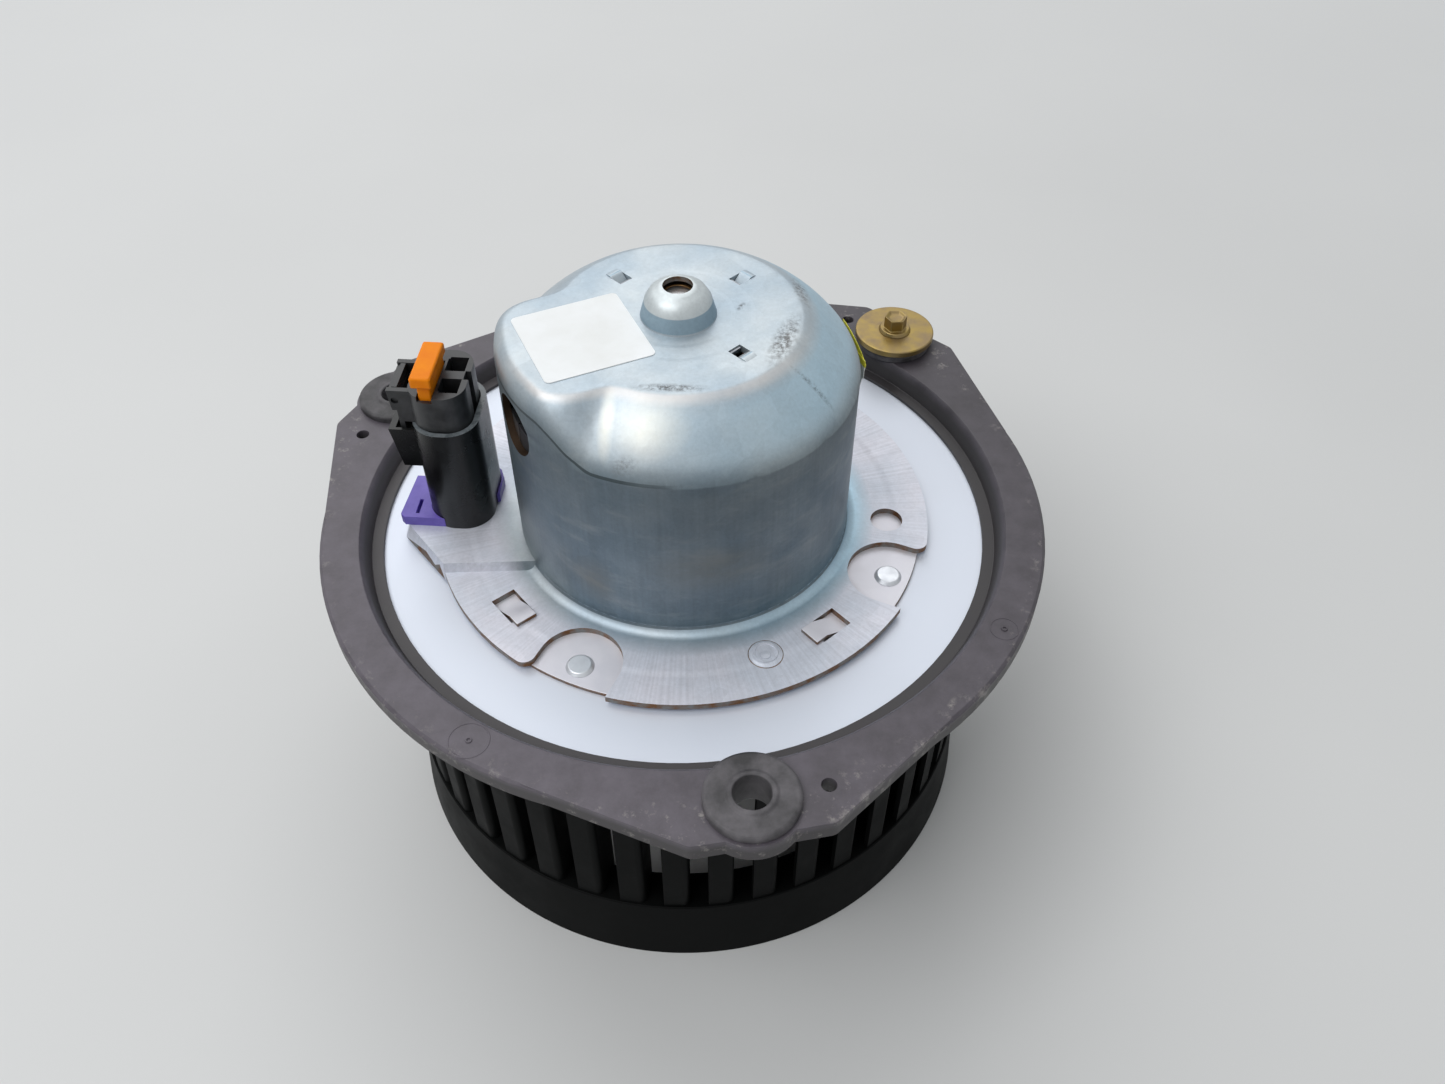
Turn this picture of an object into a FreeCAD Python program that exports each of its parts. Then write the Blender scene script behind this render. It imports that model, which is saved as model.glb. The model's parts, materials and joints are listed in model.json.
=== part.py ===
import FreeCAD, Part
import math
import os

# A cabin blower: a brushed motor in a drawn steel can, held in a plastic mounting flange, with a
# squirrel-cage wheel on its shaft. Lengths are in millimetres and angles in degrees.
# Z runs up along the shaft and z = 0 is the plane of the wheel's open rim, on which it stands.
# The origin is on the shaft's axis, and azimuths are measured from +X towards +Y.

# Wheel
skirt_top_r = 74.9
skirt_flare = 1.7
skirt_height = 20.8
skirt_wall = 1.6
end_ring_t = 2.0
wheel_phase = 0.5
blade_count = 43
blade_height = 53.2
blade_inset = 0.5
blade_depth = 9.0
blade_t = 1.3
blade_bend_r = 4.5
blade_turn = 93.0
blade_lip = 2.6
back_t = 2.0
back_inset = 1.0
hub_r = 9.0
hub_height = 14.0
hub_drop = 25.0
insert_r = 5.5
wheel_gap = 3.8

# Mounting plate and flange
plate_t = 1.2
plate_hole_r = 13.0
flange_width = 9.9
flange_t = 4.7
flange_rise = 5.7
flange_edge_round = 0.7
recess_taper = 1.5
ledge_width = 1.05
lip_t = 0.9
lip_overlap = 1.75
spigot_wall = 2.85
spigot_depth = 4.0
wheel_passage = 1.6
ear_azimuths = (-82.2, 45.6, 151.2)
ear_hole_inset = 1.3
ear_half_span = 31.0
ear_reach = 8.2
ear_corner_before = 8.3
ear_corner_after = 9.2
ear_corner_round = 3.0
ear_boss_r = 10.9
pilot_hole_r = 1.6
pilot_hole_step = 10.4
pilot_hole_inset = 0.3

# Rubber grommets, and the screw and washer left in the rear one
grommet_bore_r = 4.0
grommet_head_r = 10.1
grommet_head_t = 2.1
grommet_neck_r = 6.4
grommet_foot_r = 7.7
grommet_foot_t = 1.9
grommet_collar_r = 5.4
grommet_collar_t = 0.4
screw_r = 2.4
screw_below_washer = 20.0
screw_tip = 3.0
screw_collar_r = 4.5
screw_collar_t = 1.0
screw_head_flats = 5.5
screw_head_t = 3.4
washer_r = 10.9
washer_t = 1.6

# Motor can and its flange
can_r = 40.0
can_wall = 1.6
can_height = 60.0
can_section_points = 60
can_flange_r = 60.1
can_foot_round = 2.5
shoulder_drop = 13.5
plateau_r = 26.5
shoulder_power = 1.3
lobe_azimuth = 200.0
lobe_full_half = 21.0
lobe_end_half = 43.0
lobe_plateau_r = 36.3
lobe_shoulder_drop = 6.5
boss_foot_r = 8.3
boss_crease_r = 7.2
boss_crease_rise = 4.0
boss_top_r = 3.5
boss_rise = 7.2
boss_hole_r = 2.9
boss_wall = 1.2
window_side = 3.4
window_pitch_r = 18.5
window_azimuth = 42.0
window_count = 4
vent_r = 7.0
vent_azimuth = 207.0
vent_height = 45.5
scallop_r = 9.7
scallop_corner_r = 2.6
scallop_corner_sides = (-1, 1, 1)
tab_azimuths = (-142.8, -50.8, 38.4, 128.4)
tab_sides = (1, -1, 1, -1)
tab_pitch_r = 50.4
tab_side_gap = 0.4
tab_overhang = 1.9
tab_rest = 1.2
tab_window_length = 8.4
tab_window_depth = 6.0
drain_hole_r = 3.9
drain_azimuth = -7.0
stud_mark_r = 3.9
stud_mark_azimuth = -70.0
mark_pitch_r = 50.0
tongue_rise = 2.2
tongue_slope = 1.6

# End plate and rivets
end_plate_t = 1.0
end_plate_r = 58.2
cup_wall = 1.2
cup_inner_r = 7.0
rivet_azimuths = (-117.0, -26.1, 108.5)
rivet_pitch_r = 53.2
rivet_head_r = 3.3
rivet_head_t = 0.8
rivet_shank_r = 2.0
rivet_tail_r = 3.0

# Shaft, bearings and rotor
shaft_r = 3.0
thread_r = 2.4
thread_length = 7.0
nut_flats = 8.0
nut_t = 4.0
nut_washer_r = 6.0
nut_washer_t = 1.0
clip_r = 5.0
clip_t = 0.8
bearing_ball_r = 6.2
bearing_width = 10.0
lower_bearing_drop = 2.5
upper_bearing_depth = 7.1
retainer_t = 0.6
upper_retainer_r = 16.4
lower_retainer_r = 14.0
thrust_washer_r = 5.5
thrust_washer_t = 0.8
commutator_r = 11.0
commutator_height = 10.4
commutator_bars = 12
bar_t = 2.2
bar_gap = 0.6
core_height = 24.0
core_lift = 20.0
slot_mouth = 2.6
slot_width = 6.0
slot_floor_r = 15.0
tooth_tip_t = 2.2
coil_r = 28.0
coil_inner_r = 8.0
coil_end_height = 5.0
air_gap = 0.6
magnet_t = 6.8
magnet_arc = 130.0
magnet_lift = 16.0
magnet_headroom = 2.5
magnet_clip_t = 0.8

# Brush gear
card_t = 1.4
card_bore_r = 18.0
card_pad_t = 1.2
brush_width = 6.0
brush_height = 7.0
brush_length = 13.0
brush_travel = 4.0
holder_wall = 0.8
holder_inner_r = 13.2
spring_r = 2.4
spring_wire_r = 0.3
spring_turns = 6
strip_t = 0.6
strip_width = 4.0
blade_terminal_width = 2.8
blade_terminal_t = 0.8
blade_terminal_height = 14.0

# Connector: shroud on the motor, plug from the loom, latch and locking clip
connector_x = -53.3
connector_y = 3.5
connector_turn = -6.5
shroud_width = 15.2
shroud_depth = 21.2
shroud_height = 29.2
shroud_round = 6.8
shroud_wall = 1.3
shroud_floor_t = 3.0
terminal_pitch = 7.2
terminal_shift = 1.4
latch_shift = -0.25
lock_reach = 5.8
lock_width = 11.2
lock_height = 11.0
lock_drop = 2.5
lock_taper = 1.8
lock_wall = 0.8
lock_pocket_depth = 4.4
catch_reach = 0.9
catch_t = 1.6
retainer_foot_reach = 6.6
retainer_foot_t = 2.7
retainer_front_inset = 0.4
retainer_rear = 4.4
retainer_margin = 1.1
plug_proud = 9.5
cavity_width = 2.8
cavity_depth = 4.4
cavity_sleeve_height = 14.0
cavity_wall = 0.6
plug_head_left = 1.0
key_width = 3.0
key_depth = 1.2
guard_reach = 4.2
guard_foot_reach = 3.6
guard_root_reach = 2.0
guard_notch = 3.2
guard_t = 1.3
guard_opening = 8.9
lever_t = 1.2
lever_gap = 0.2
lever_tongue = 4.6
lever_reach = 2.6
lever_pin_r = 0.8
lever_pin_drop = 2.8
lever_tail = 12.6
lever_pad = 0.8
lever_ribs = 4
hook_reach = 0.6
hook_t = 0.8
clip_bar_t = 2.8
clip_bar_width = 4.8
clip_bar_length = 13.8
clip_bar_lift = 2.8
clip_leg_t = 1.5
clip_leg_inset = 1.3
clip_nose_width = 2.2
clip_nose_t = 1.4
clip_travel = 3.0
clip_notch = 1.2

# Labels
label_side = 24.0
label_t = 0.15
label_azimuth = 200.0
label_pitch_r = 21.6
label_turn = 21.9
sticker_azimuth = 20.0
sticker_arc = 18.0
sticker_loose = 12.0
sticker_drop = 2.5
sticker_height = 5.0

# Clearances
seat_gap = 0.03
running_gap = 0.05
brush_gap = 0.1
plug_gap = 0.25
rubber_gap = 0.05

# Radii worked out from the sizes above
skirt_foot_r = skirt_top_r + skirt_flare
skirt_inner_r = skirt_top_r - skirt_wall
blade_root_r = skirt_top_r - blade_inset - blade_depth
spigot_r = skirt_foot_r + wheel_passage
plate_r = spigot_r - spigot_wall
lip_r = plate_r - lip_overlap
recess_foot_r = plate_r + ledge_width
recess_top_r = recess_foot_r + recess_taper
flange_r = recess_top_r + flange_width
ear_pitch_r = flange_r - ear_hole_inset
ear_corner_r = flange_r + ear_reach
pilot_hole_pitch_r = flange_r - pilot_hole_inset
can_inner_r = can_r - can_wall
magnet_inner_r = can_inner_r - seat_gap - magnet_t
core_r = magnet_inner_r - air_gap

# Levels worked out from the sizes above
wheel_top = skirt_height + blade_height + back_t
hub_bottom = wheel_top - hub_drop
hub_top = hub_bottom + hub_height
deck = wheel_top + wheel_gap + plate_t
plate_under = deck - plate_t
end_plate_top = deck + end_plate_t
can_flange_top = end_plate_top + can_wall
can_top = end_plate_top + can_height
shoulder_height = can_height - shoulder_drop
lobe_shoulder_height = can_height - lobe_shoulder_drop
magnet_under = deck + magnet_lift
magnet_top = end_plate_top + shoulder_height - magnet_headroom
flange_top = deck + flange_rise
flange_under = flange_top - flange_t
tongue_top = can_flange_top + tongue_rise
tongue_under = tongue_top - can_wall
lower_ball = deck - lower_bearing_drop
upper_ball = can_top + boss_rise - upper_bearing_depth
lower_washer_top = lower_ball + bearing_width / 2 + running_gap + thrust_washer_t
upper_washer_under = upper_ball - bearing_width / 2 - running_gap - thrust_washer_t
card_top = end_plate_top + card_t
holder_under = card_top + card_pad_t
brush_under = holder_under + holder_wall + brush_gap
commutator_under = lower_washer_top + seat_gap
commutator_top = commutator_under + commutator_height
core_under = deck + core_lift
core_top = core_under + core_height
holder_outer_r = commutator_r + running_gap + brush_length + brush_travel + spring_turns * spring_wire_r * 2
holder_end_r = holder_outer_r + holder_wall
shroud_top = tongue_top + shroud_height
plug_top = shroud_top + plug_proud
shroud_left = connector_x - shroud_width / 2
lock_top = shroud_top - lock_drop
guard_top = plug_top - plug_gap * 2
latch_y = connector_y + latch_shift
guard_y = latch_y - guard_opening / 2 - guard_t
tongue_y = guard_y + guard_t + lever_gap + lever_tongue / 2
lever_pin_z = guard_top - lever_pin_drop
lever_x = shroud_left - lever_reach
nose_under = shroud_top + plug_gap
bar_under = plug_top + clip_bar_lift
plug_half_width = shroud_width / 2 - shroud_wall - plug_gap
plug_half_depth = shroud_depth / 2 - shroud_wall - plug_gap
plug_right = connector_x + plug_half_width
plug_left = connector_x - plug_half_width
plug_front = connector_y - plug_half_depth
terminal_x = connector_x + terminal_shift
clip_right = terminal_x - cavity_width / 2
clip_left = clip_right - clip_bar_width
clip_neck = cavity_wall + plug_gap


def vec(x, y, z):
    return FreeCAD.Vector(x, y, z)


def polar(radius, azimuth, z=0.0):
    angle = math.radians(azimuth)
    return vec(radius * math.cos(angle), radius * math.sin(angle), z)


def turned(shape, azimuth):
    """A copy of the shape, turned about the shaft's axis."""
    copy = shape.copy()
    copy.rotate(vec(0, 0, 0), vec(0, 0, 1), azimuth)
    return copy


def cylinder(radius, low, high, x=0.0, y=0.0):
    return Part.makeCylinder(radius, high - low, vec(x, y, low))


def tube(inner, outer, low, high):
    return cylinder(outer, low, high).cut(cylinder(inner, low - 1, high + 1))


def block(x0, x1, y0, y1, z0, z1):
    return Part.makeBox(x1 - x0, y1 - y0, z1 - z0, vec(x0, y0, z0))


def revolved(profile, sweep=360.0, start=0.0):
    """A closed profile of (radius, z) points, turned about the shaft's axis."""
    points = [vec(r, 0, z) for r, z in profile]
    face = Part.Face(Part.makePolygon(points + points[:1]))
    return turned(face.revolve(vec(0, 0, 0), vec(0, 0, 1), sweep), start)


def prism(outline, low, high):
    """A closed outline of (x, y) points, raised from one level to another."""
    points = [vec(x, y, low) for x, y in outline]
    face = Part.Face(Part.makePolygon(points + points[:1]))
    return face.extrude(vec(0, 0, high - low))


def hexagon(flats, low, high, x=0.0, y=0.0):
    corner = flats / math.sqrt(3)
    angles = [math.radians(60 * i) for i in range(6)]
    return prism([(x + corner * math.cos(a), y + corner * math.sin(a)) for a in angles], low, high)


def rounded_block(width, depth, radius, low, high, x, y):
    box = block(x - width / 2, x + width / 2, y - depth / 2, y + depth / 2, low, high)
    upright = [e for e in box.Edges if abs(e.Vertexes[0].Z - e.Vertexes[1].Z) > 0.5 * (high - low)]
    return box.makeFillet(radius, upright)


def joined(shapes):
    """The shapes as one solid."""
    whole = shapes[0]
    for shape in shapes[1:]:
        whole = whole.fuse(shape)
    return whole.removeSplitter()


def in_connector(shape):
    """A copy of the shape, turned with the connector, which stands a little askew on its tongue."""
    copy = shape.copy()
    copy.rotate(vec(connector_x, connector_y, 0), vec(0, 0, 1), connector_turn)
    return copy


def ball_bush(centre):
    """A sintered bush with a spherical outside, which lines itself up in its seat."""
    ball = Part.makeSphere(bearing_ball_r, vec(0, 0, centre))
    band = cylinder(bearing_ball_r + 1, centre - bearing_width / 2, centre + bearing_width / 2)
    bore = cylinder(shaft_r + seat_gap, centre - bearing_width, centre + bearing_width)
    return ball.common(band).cut(bore)


# Wheel

def skirt_outer_r(height):
    return skirt_foot_r - skirt_flare * height / skirt_height


def wheel_skirt():
    top = skirt_height - end_ring_t
    return revolved([(skirt_inner_r, 0), (skirt_foot_r, 0), (skirt_outer_r(top), top), (skirt_inner_r, top)])


def wheel_end_ring():
    """The floor of the skirt, which carries the blades."""
    low = skirt_height - end_ring_t
    return revolved([(blade_root_r, low), (skirt_outer_r(low), low), (skirt_top_r, skirt_height),
                     (blade_root_r, skirt_height)])


def blade_straight():
    """Length of the blade's straight root, which brings its tip's outside to just inside the skirt's top."""
    turn = math.radians(blade_turn)
    tip_r = skirt_top_r - blade_inset - blade_t / 2
    aside = blade_bend_r * (1 - math.cos(turn)) + blade_lip * math.sin(turn)
    outward = blade_bend_r * math.sin(turn) + blade_lip * math.cos(turn)
    return math.sqrt(tip_r ** 2 - aside ** 2) - outward - blade_root_r


def blade():
    """One blade: a straight root on the X axis, a bend, and a lip that lies along the wheel's rim."""
    turn = math.radians(blade_turn)
    bend_x = blade_root_r + blade_straight()
    lip = vec(blade_lip * math.cos(turn), -blade_lip * math.sin(turn), 0)

    def at(radius, share):
        return vec(bend_x + radius * math.sin(turn * share), radius * math.cos(turn * share) - blade_bend_r, skirt_height)

    inner = blade_bend_r - blade_t / 2
    outer = blade_bend_r + blade_t / 2
    foot = vec(bend_x - blade_root_r, 0, 0)
    edges = [
        Part.LineSegment(at(outer, 0) - foot, at(outer, 0)).toShape(),
        Part.Arc(at(outer, 0), at(outer, 0.5), at(outer, 1)).toShape(),
        Part.LineSegment(at(outer, 1), at(outer, 1) + lip).toShape(),
        Part.LineSegment(at(outer, 1) + lip, at(inner, 1) + lip).toShape(),
        Part.LineSegment(at(inner, 1) + lip, at(inner, 1)).toShape(),
        Part.Arc(at(inner, 1), at(inner, 0.5), at(inner, 0)).toShape(),
        Part.LineSegment(at(inner, 0), at(inner, 0) - foot).toShape(),
        Part.LineSegment(at(inner, 0) - foot, at(outer, 0) - foot).toShape(),
    ]
    return Part.Face(Part.Wire(edges)).extrude(vec(0, 0, blade_height))


def wheel_blades():
    one = blade()
    return Part.makeCompound([turned(one, wheel_phase + 360.0 * i / blade_count) for i in range(blade_count)])


def wheel_back_plate():
    rim = skirt_top_r - back_inset
    knee = blade_root_r - back_t
    under = wheel_top - back_t
    web = hub_bottom + hub_height * 0.4
    return revolved([
        (insert_r + seat_gap, hub_bottom), (hub_r, hub_bottom), (hub_r, web), (knee, under),
        (rim, under), (rim, wheel_top), (knee, wheel_top), (hub_r, web + back_t), (hub_r, hub_top),
        (insert_r + seat_gap, hub_top),
    ])


def wheel_hub_insert():
    return tube(shaft_r + seat_gap, insert_r, hub_bottom, hub_top)


def wheel_nut():
    top = hub_bottom - nut_washer_t - seat_gap
    return hexagon(nut_flats, top - nut_t, top).cut(cylinder(thread_r + seat_gap, 0, hub_bottom))


def wheel_washer():
    return tube(thread_r + seat_gap, nut_washer_r, hub_bottom - nut_washer_t, hub_bottom - seat_gap)


def shaft_clip():
    ring = tube(shaft_r + seat_gap, clip_r, hub_top + seat_gap, hub_top + clip_t)
    return ring.cut(block(0, clip_r + 1, -shaft_r / 2, shaft_r / 2, hub_top, hub_top + 2 * clip_t))


# Shaft and armature

def shaft():
    journal_top = upper_ball + bearing_width / 2 - running_gap
    rod = cylinder(shaft_r, hub_bottom, journal_top)
    return joined([rod, cylinder(thread_r, hub_bottom - thread_length, hub_bottom)])


def thrust_washers():
    inner = shaft_r + seat_gap
    lower = tube(inner, thrust_washer_r, lower_washer_top - thrust_washer_t, lower_washer_top)
    upper = tube(inner, thrust_washer_r, upper_washer_under, upper_washer_under + thrust_washer_t)
    return Part.makeCompound([lower, upper])


def commutator_hub():
    outer = commutator_r - bar_t - seat_gap
    return tube(shaft_r + seat_gap, outer, commutator_under, commutator_top)


def commutator_bar_ring():
    ring = tube(commutator_r - bar_t, commutator_r, commutator_under, commutator_top)
    slit = block(0, commutator_r + 1, -bar_gap / 2, bar_gap / 2, commutator_under - 1, commutator_top + 1)
    for i in range(commutator_bars):
        ring = ring.cut(turned(slit, 360.0 * (i + 0.5) / commutator_bars))
    return Part.makeCompound(ring.Solids)


def slot_space(margin, low, high):
    """The room of one winding slot, its walls moved in by the margin."""
    half = slot_width / 2 - margin
    return block(slot_floor_r + margin, core_r - tooth_tip_t - margin, -half, half, low, high)


def armature_core():
    core = tube(shaft_r + seat_gap, core_r, core_under, core_top)
    room = slot_space(0, core_under - 1, core_top + 1)
    mouth = block(core_r - tooth_tip_t - 1, core_r + 1, -slot_mouth / 2, slot_mouth / 2, core_under - 1, core_top + 1)
    cut = room.fuse(mouth)
    for i in range(commutator_bars):
        core = core.cut(turned(cut, 360.0 * i / commutator_bars))
    return core


def armature_windings():
    """Coils in the slots, joined by the end turns above and below the core."""
    margin = brush_gap
    low = core_under - coil_end_height
    high = core_top + coil_end_height
    shapes = [
        tube(coil_inner_r, coil_r, low, core_under - margin),
        tube(coil_inner_r, coil_r, core_top + margin, high),
    ]
    side = slot_space(margin, low, high)
    shapes += [turned(side, 360.0 * i / commutator_bars) for i in range(commutator_bars)]
    return joined(shapes)


# Motor can

def lobe_share(azimuth):
    """1 on the can's lobe, 0 away from it, with a smooth change between."""
    off = abs((azimuth - lobe_azimuth + 180.0) % 360.0 - 180.0)
    t = (lobe_end_half - off) / (lobe_end_half - lobe_full_half)
    t = min(1.0, max(0.0, t))
    return t * t * (3 - 2 * t)


def mixed(low, high, share):
    return low + (high - low) * share


def can_radius(azimuth, height, wall):
    """The can's radius at a height above the end plate, its wall taken off where wall isn't 0."""
    share = lobe_share(azimuth)
    flat = mixed(plateau_r, lobe_plateau_r, share) - wall / 2
    start = mixed(shoulder_height, lobe_shoulder_height, share)
    power = mixed(shoulder_power, 2.0, share)
    full = can_r - wall
    rise = (height - start) / (can_height - wall - start)
    if rise <= 0:
        return full
    return flat + (full - flat) * max(0.0, 1 - rise ** power) ** (1 / power)


def can_section(height, wall):
    points = can_section_points
    curve = Part.BSplineCurve()
    ring = [polar(can_radius(360.0 * i / points, height, wall), 360.0 * i / points, end_plate_top + height)
            for i in range(points)]
    curve.interpolate(Points=ring, PeriodicFlag=True)
    return Part.Wire(curve.toShape())


def can_crown(wall, steps=9):
    """The can above its straight wall: a round shoulder, with a lobe that stays full width."""
    top = can_height - wall
    angles = [math.radians(90.0 * i / steps) for i in range(steps + 1)]
    levels = [shoulder_height + (top - shoulder_height) * math.sin(a) for a in angles]
    return Part.makeLoft([can_section(level, wall) for level in levels], True, False)


def can_boss():
    foot = can_top - can_wall
    outer = [(0, foot), (boss_foot_r, foot), (boss_foot_r, can_top),
             (boss_crease_r, can_top + boss_crease_rise), (boss_crease_r * 0.85, can_top + boss_rise * 0.8),
             (boss_top_r, can_top + boss_rise), (0, can_top + boss_rise)]
    return revolved(outer)


def can_boss_room():
    foot = can_top - can_wall - 1
    crease = can_top + boss_crease_rise - boss_wall
    roof = can_top + boss_rise - boss_wall
    room = revolved([(0, foot), (boss_foot_r - boss_wall, foot), (boss_crease_r - boss_wall / 2, crease),
                     (boss_hole_r + boss_wall / 2, roof), (0, roof)])
    return room.fuse(cylinder(boss_hole_r, roof - 1, can_top + boss_rise + 1))


def can_barrel(wall, low):
    """The can's straight wall, drawn from the same curve as the foot of its crown."""
    section = Part.Face(can_section(shoulder_height, wall))
    return section.extrude(vec(0, 0, low - end_plate_top - shoulder_height))


def can_foot():
    """The flare where the can's wall turns out into its flange."""
    centre_z = can_flange_top + can_foot_round
    angles = [math.radians(15.0 * i) for i in range(6)]
    flare = [(can_r + can_foot_round * (1 - math.sin(a)), centre_z - can_foot_round * math.cos(a)) for a in angles]
    inside = can_r - 0.5
    return revolved([(inside, can_flange_top - 0.5), (flare[0][0], can_flange_top - 0.5), *flare,
                     (inside, centre_z + 0.5)])


def can_body():
    return joined([can_barrel(0.0, end_plate_top), can_foot(), can_crown(0.0), can_boss()])


def can_room():
    return joined([can_barrel(can_wall, end_plate_top - 1), can_crown(can_wall), can_boss_room()])


def tongue_outline(grow):
    """The raised tongue that covers the leads, from inside the can out to under the connector."""
    inner = -can_inner_r + 4
    reach = shroud_left - retainer_foot_reach + 1
    front = connector_y - shroud_depth - 0.8
    rear = connector_y + shroud_depth
    return [(inner, front - grow), (reach + 9.5, front - grow), (reach - grow, connector_y - 9.0),
            (reach - grow, connector_y + 9.0), (reach + 9.5, rear + grow), (inner, rear + grow)]


def tongue(grow_low, grow_high, low, high):
    wires = []
    for grow, level in ((grow_low, low), (grow_high, high)):
        points = [vec(x, y, level) for x, y in tongue_outline(grow)]
        wires.append(Part.makePolygon(points + points[:1]))
    return Part.makeLoft(wires, True, True)


def flange_windows():
    """Windows in the can's flange for the end plate's tabs."""
    half = tab_window_length / 2
    near = tab_pitch_r - tab_window_depth / 2
    one = block(near, near + tab_window_depth, -half, half, end_plate_top - 1, can_flange_top + 1)
    return [turned(one, azimuth) for azimuth in tab_azimuths]


def flange_disc():
    """The can's flange, with bites out of its edge that leave the rivets bare."""
    disc = cylinder(can_flange_r, end_plate_top, can_flange_top)
    corner_turn = math.degrees(math.asin(scallop_r / can_flange_r))
    corners = []
    for azimuth, side in zip(rivet_azimuths, scallop_corner_sides):
        p = polar(rivet_pitch_r, azimuth)
        mouth = block(rivet_pitch_r, can_flange_r + 1, -scallop_r, scallop_r, end_plate_top, can_flange_top)
        disc = disc.cut(cylinder(scallop_r, end_plate_top, can_flange_top, p.x, p.y)).cut(turned(mouth, azimuth))
        corners.append(polar(can_flange_r, azimuth + side * corner_turn, (end_plate_top + can_flange_top) / 2))
    edges = [edge for edge in disc.Edges for corner in corners
             if len(edge.Vertexes) == 2 and edge.CenterOfMass.distanceToPoint(corner) < scallop_corner_r / 4]
    return disc.makeFillet(scallop_corner_r, edges)


def can_flange():
    disc = flange_disc()
    raised = tongue(tongue_slope, 0, end_plate_top, tongue_top)
    mark_foot = polar(mark_pitch_r, stud_mark_azimuth)
    mark = Part.makeCone(stud_mark_r, stud_mark_r - 1, 0.6, vec(mark_foot.x, mark_foot.y, can_flange_top))
    return joined([disc, raised, mark])


def crown_windows():
    half = window_side / 2
    near = window_pitch_r - half
    one = block(near, near + window_side, -half, half, can_top - 2 * can_wall, can_top + 1)
    return [turned(one, window_azimuth + 360.0 * i / window_count) for i in range(window_count)]


def vent():
    hole = Part.makeCylinder(vent_r, 2 * can_wall + 8, vec(can_inner_r - 5, 0, end_plate_top + vent_height), vec(1, 0, 0))
    return turned(hole, vent_azimuth)


def connector_window():
    half = (terminal_pitch + strip_width) / 2
    hole = block(terminal_x - 3, terminal_x + 3, connector_y - half, connector_y + half, tongue_under - 1, tongue_top + 1)
    return in_connector(hole)


def motor_can():
    shell = joined([can_flange(), can_body()])
    shell = shell.cut(can_room())
    shell = shell.cut(tongue(tongue_slope - can_wall, -can_wall, end_plate_top - 1, tongue_under))
    drain = polar(mark_pitch_r, drain_azimuth)
    cuts = [vent(), connector_window(), cylinder(drain_hole_r, end_plate_top - 1, can_flange_top + 1, drain.x, drain.y)]
    for cut in cuts + flange_windows() + crown_windows():
        shell = shell.cut(cut)
    return shell


# End plate, rivets and bearings

def cup(inset, drop):
    """The bearing cup's profile; the inset and drop give its inside."""
    base = deck + (2 if inset else 0)
    side = lower_ball - 2
    floor = lower_ball - bearing_width / 2 - 0.4 - drop
    outer = cup_inner_r + cup_wall - inset
    return revolved([(0, base), (outer, base), (outer - 0.4, side), (outer - 3.2, floor), (0, floor)])


def rivet_holes(low, high):
    places = [polar(rivet_pitch_r, azimuth) for azimuth in rivet_azimuths]
    return [cylinder(rivet_shank_r + seat_gap, low, high, p.x, p.y) for p in places]


def end_plate_tab(side):
    """A tab lanced from the end plate, which comes up through a window and rests on the flange past its end."""
    half = tab_window_length / 2
    t = end_plate_t
    low = can_flange_top + seat_gap
    reach = half + tab_overhang
    start = half - tab_side_gap
    profile = [(start, deck + t / 2), (start, end_plate_top), (start - tab_rest, end_plate_top),
               (-half + tab_rest, low + t), (-reach, low + t), (-reach, low), (-half + tab_rest / 2, low),
               (start - 2 * tab_rest, deck + t / 2)]
    near = tab_pitch_r - tab_window_depth / 2 + tab_side_gap
    points = [vec(near, -side * along, height) for along, height in profile]
    face = Part.Face(Part.makePolygon(points + points[:1]))
    return face.extrude(vec(tab_window_depth - 2 * tab_side_gap, 0, 0))


def motor_end_plate():
    plate = joined([cylinder(end_plate_r, deck, end_plate_top), cup(0, cup_wall)])
    plate = plate.cut(cup(cup_wall, 0))
    plate = plate.cut(cylinder(shaft_r + 4 * running_gap, hub_top, deck + 1))
    tabs = [turned(end_plate_tab(side), azimuth) for azimuth, side in zip(tab_azimuths, tab_sides)]
    plate = joined([plate] + tabs)
    for hole in rivet_holes(deck - 1, end_plate_top + 1):
        plate = plate.cut(hole)
    return plate


def flange_rivets():
    low_head = plate_under - rivet_head_t
    solids = []
    for azimuth in rivet_azimuths:
        p = polar(rivet_pitch_r, azimuth)
        head = Part.makeCone(rivet_head_r, rivet_head_r - 0.7, rivet_head_t, vec(p.x, p.y, end_plate_top))
        shank = cylinder(rivet_shank_r, plate_under, end_plate_top, p.x, p.y)
        tail = cylinder(rivet_tail_r, low_head, plate_under, p.x, p.y)
        solids.append(joined([head, shank, tail]))
    return Part.makeCompound(solids)


def upper_bearing_retainer():
    """A spring ring under the upper bush, with tabs that reach up into the can's windows."""
    low = upper_ball - bearing_width / 2 + 1.5
    grip = math.sqrt(bearing_ball_r ** 2 - (upper_ball - low - retainer_t) ** 2)
    ring = tube(grip + running_gap, upper_retainer_r, low, low + retainer_t)
    reach = window_pitch_r - window_side / 2 + retainer_t + seat_gap
    arm = block(upper_retainer_r - 2, reach, -window_side / 2.4, window_side / 2.4, low, low + retainer_t)
    post = block(reach - retainer_t, reach, -window_side / 2.4, window_side / 2.4, low, can_top - 0.3)
    tab = arm.fuse(post)
    return joined([ring] + [turned(tab, window_azimuth + 360.0 * i / window_count) for i in range(window_count)])


def lower_bearing_retainer():
    grip = math.sqrt(bearing_ball_r ** 2 - (end_plate_top - lower_ball) ** 2)
    return tube(grip + running_gap, lower_retainer_r, end_plate_top, end_plate_top + retainer_t)


# Magnets

def magnet(azimuth):
    outer = can_inner_r - seat_gap
    inner = magnet_inner_r
    profile = [(inner, magnet_under), (outer, magnet_under), (outer, magnet_top), (inner, magnet_top)]
    return revolved(profile, magnet_arc, azimuth - magnet_arc / 2)


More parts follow.
